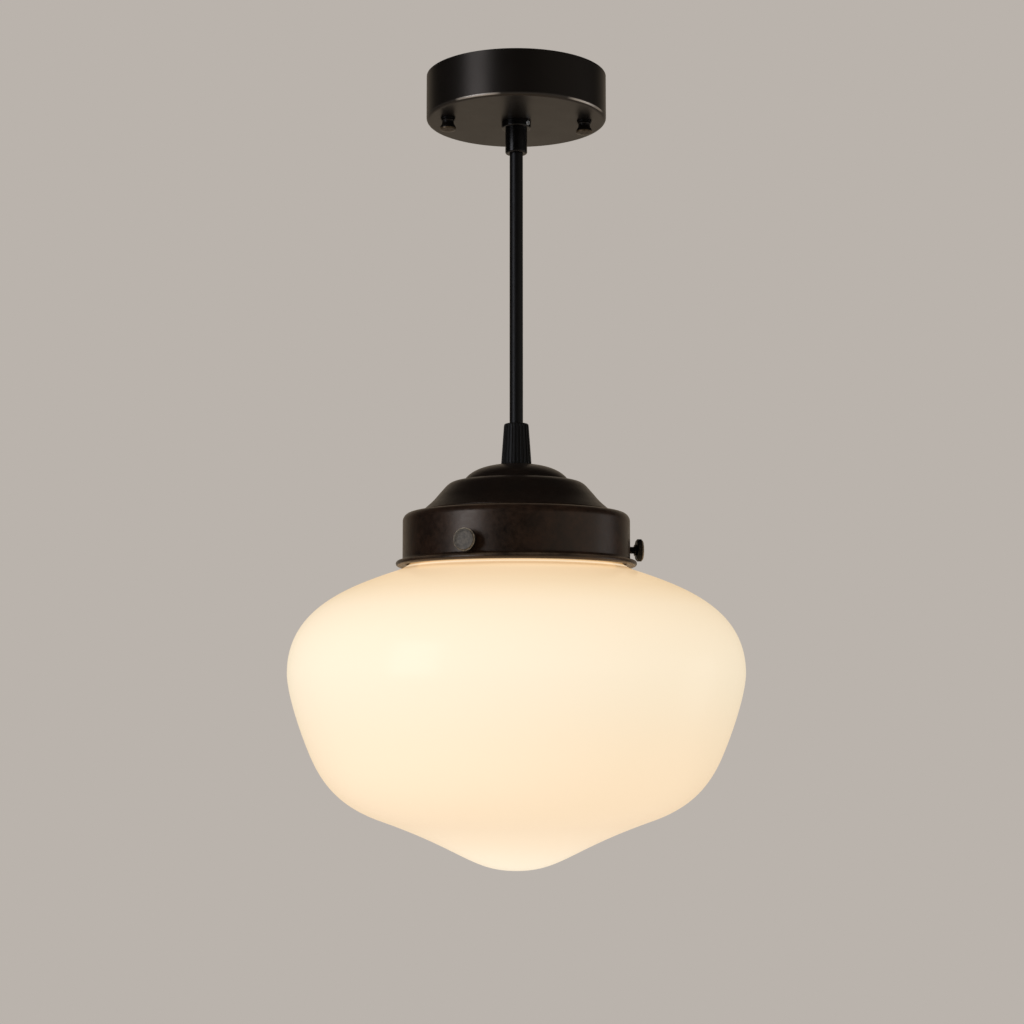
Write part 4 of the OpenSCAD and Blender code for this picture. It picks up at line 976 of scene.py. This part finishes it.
def makeLight(name, azimuth, elevation, distance, width, height, radiance):
    # a rectangle that faces the middle of the pendant from that azimuth and elevation
    data = bpy.data.lights.new(name, "AREA")
    data.shape = "RECTANGLE"
    data.size, data.size_y = width, height
    data.energy = radiance * math.pi * width * height  # gives that radiance from the panel's face
    data.color = colour(windowColour)[:3]
    lamp = bpy.data.objects.new(name, data)
    a, e = math.radians(azimuth), math.radians(elevation)
    back = np.array([math.sin(a) * math.cos(e), -math.cos(a) * math.cos(e), math.sin(e)])
    lamp.location = middle + back * distance
    bpy.context.collection.objects.link(lamp)
    bpy.context.view_layer.update()
    lamp.rotation_euler = Vector(back).to_track_quat("Z", "Y").to_euler()


for name, values in windows.items():
    makeLight(name, *values)

roomSetup = {
    "light": "#fff6ec", "lightStrength": 0.8, "wall": "#bab3ac",
    "dark": "#141210", "glow": "#a39f9a", "back": "#9e9180",
    "parts": {  # of the room: an axis, and where along it the part starts and where it is full
        "behind": ("Y", 0.5, 1), "right": ("X", 0, 1),
        "low": ("Z", 0.4, 0.05), "before": ("Y", 0.5, 0.1),
    },
}


def makeWorld(setup):
    # The world lights the object evenly. The camera and clear glass see its pale wall. Gloss sees
    # a dark room with a broad soft glow on the right, from eye level down, and a paler back.
    world = bpy.data.worlds.new("studio")
    bpy.context.scene.world = world
    world.use_nodes = True
    tree = world.node_tree
    tree.nodes.clear()
    path = addNode(tree, "LightPath")
    direction = addNode(tree, "TexCoord")
    apart = addNode(tree, "SeparateXYZ", None, {0: direction.outputs["Generated"]})
    part = {}
    for name, (axis, start, full) in setup["parts"].items():
        share = addNode(tree, "MapRange",
                        {"interpolation_type": "SMOOTHSTEP", "From Min": start, "From Max": full},
                        {"Value": apart.outputs[axis]})
        part[name] = share.outputs[0]
    level = addNode(tree, "Math", {"operation": "MULTIPLY"}, {0: part["right"], 1: part["low"]})
    glow = addNode(tree, "Math", {"operation": "MULTIPLY"},
                   {0: level.outputs[0], 1: part["before"]})
    sides = addNode(tree, "Mix", {"data_type": "RGBA", 6: colour(setup["dark"]),
                                  7: colour(setup["glow"])}, {0: glow.outputs[0]})
    shade = addNode(tree, "Mix", {"data_type": "RGBA", 7: colour(setup["back"])},
                    {0: part["behind"], 6: sides.outputs[2]})
    light = addNode(tree, "Background", {"Color": colour(setup["light"]),
                                         "Strength": setup["lightStrength"]})
    room = addNode(tree, "Background", {"Strength": 1}, {"Color": shade.outputs[2]})
    wall = addNode(tree, "Background", {"Color": colour(setup["wall"]), "Strength": 1})
    lit = addNode(tree, "MixShader", None,
                  {0: path.outputs["Is Glossy Ray"], 1: light.outputs[0], 2: room.outputs[0]})
    seen = addNode(tree, "Math", {"operation": "MAXIMUM"},
                   {0: path.outputs["Is Camera Ray"], 1: path.outputs["Is Transmission Ray"]})
    mixed = addNode(tree, "MixShader", None,
                    {0: seen.outputs[0], 1: lit.outputs[0], 2: wall.outputs[0]})
    addNode(tree, "OutputWorld", None, {"Surface": mixed.outputs[0]})


makeWorld(roomSetup)

floorSetup = {"paint": "#c6bfb8", "depth": 1250, "radius": 3000, "fade": (700, 2800)}  # mm


def makeFloor(setup):
    # a pale floor well below the pendant; it fades into the room's wall towards its edge
    material, tree, place = newMaterial("paleFloor")
    start, full = setup["fade"]
    fade = addNode(tree, "MapRange",
                   {"interpolation_type": "SMOOTHSTEP", "From Min": start, "From Max": full},
                   {"Value": fromAxis(tree, place)[1]})
    paint = addNode(tree, "BsdfDiffuse", {"Color": colour(setup["paint"])})
    clear = addNode(tree, "BsdfTransparent")
    mixed = addNode(tree, "MixShader", None,
                    {0: fade.outputs[0], 1: paint.outputs[0], 2: clear.outputs[0]})
    finishMaterial(tree, mixed)
    floorZ = -setup["depth"]
    points, quads = turned([[0, floorZ], [setup["radius"], floorZ]], 64, closed=False)
    floor = meshPiece("floor", points, quads, material)


makeFloor(floorSetup)
print("studio made")
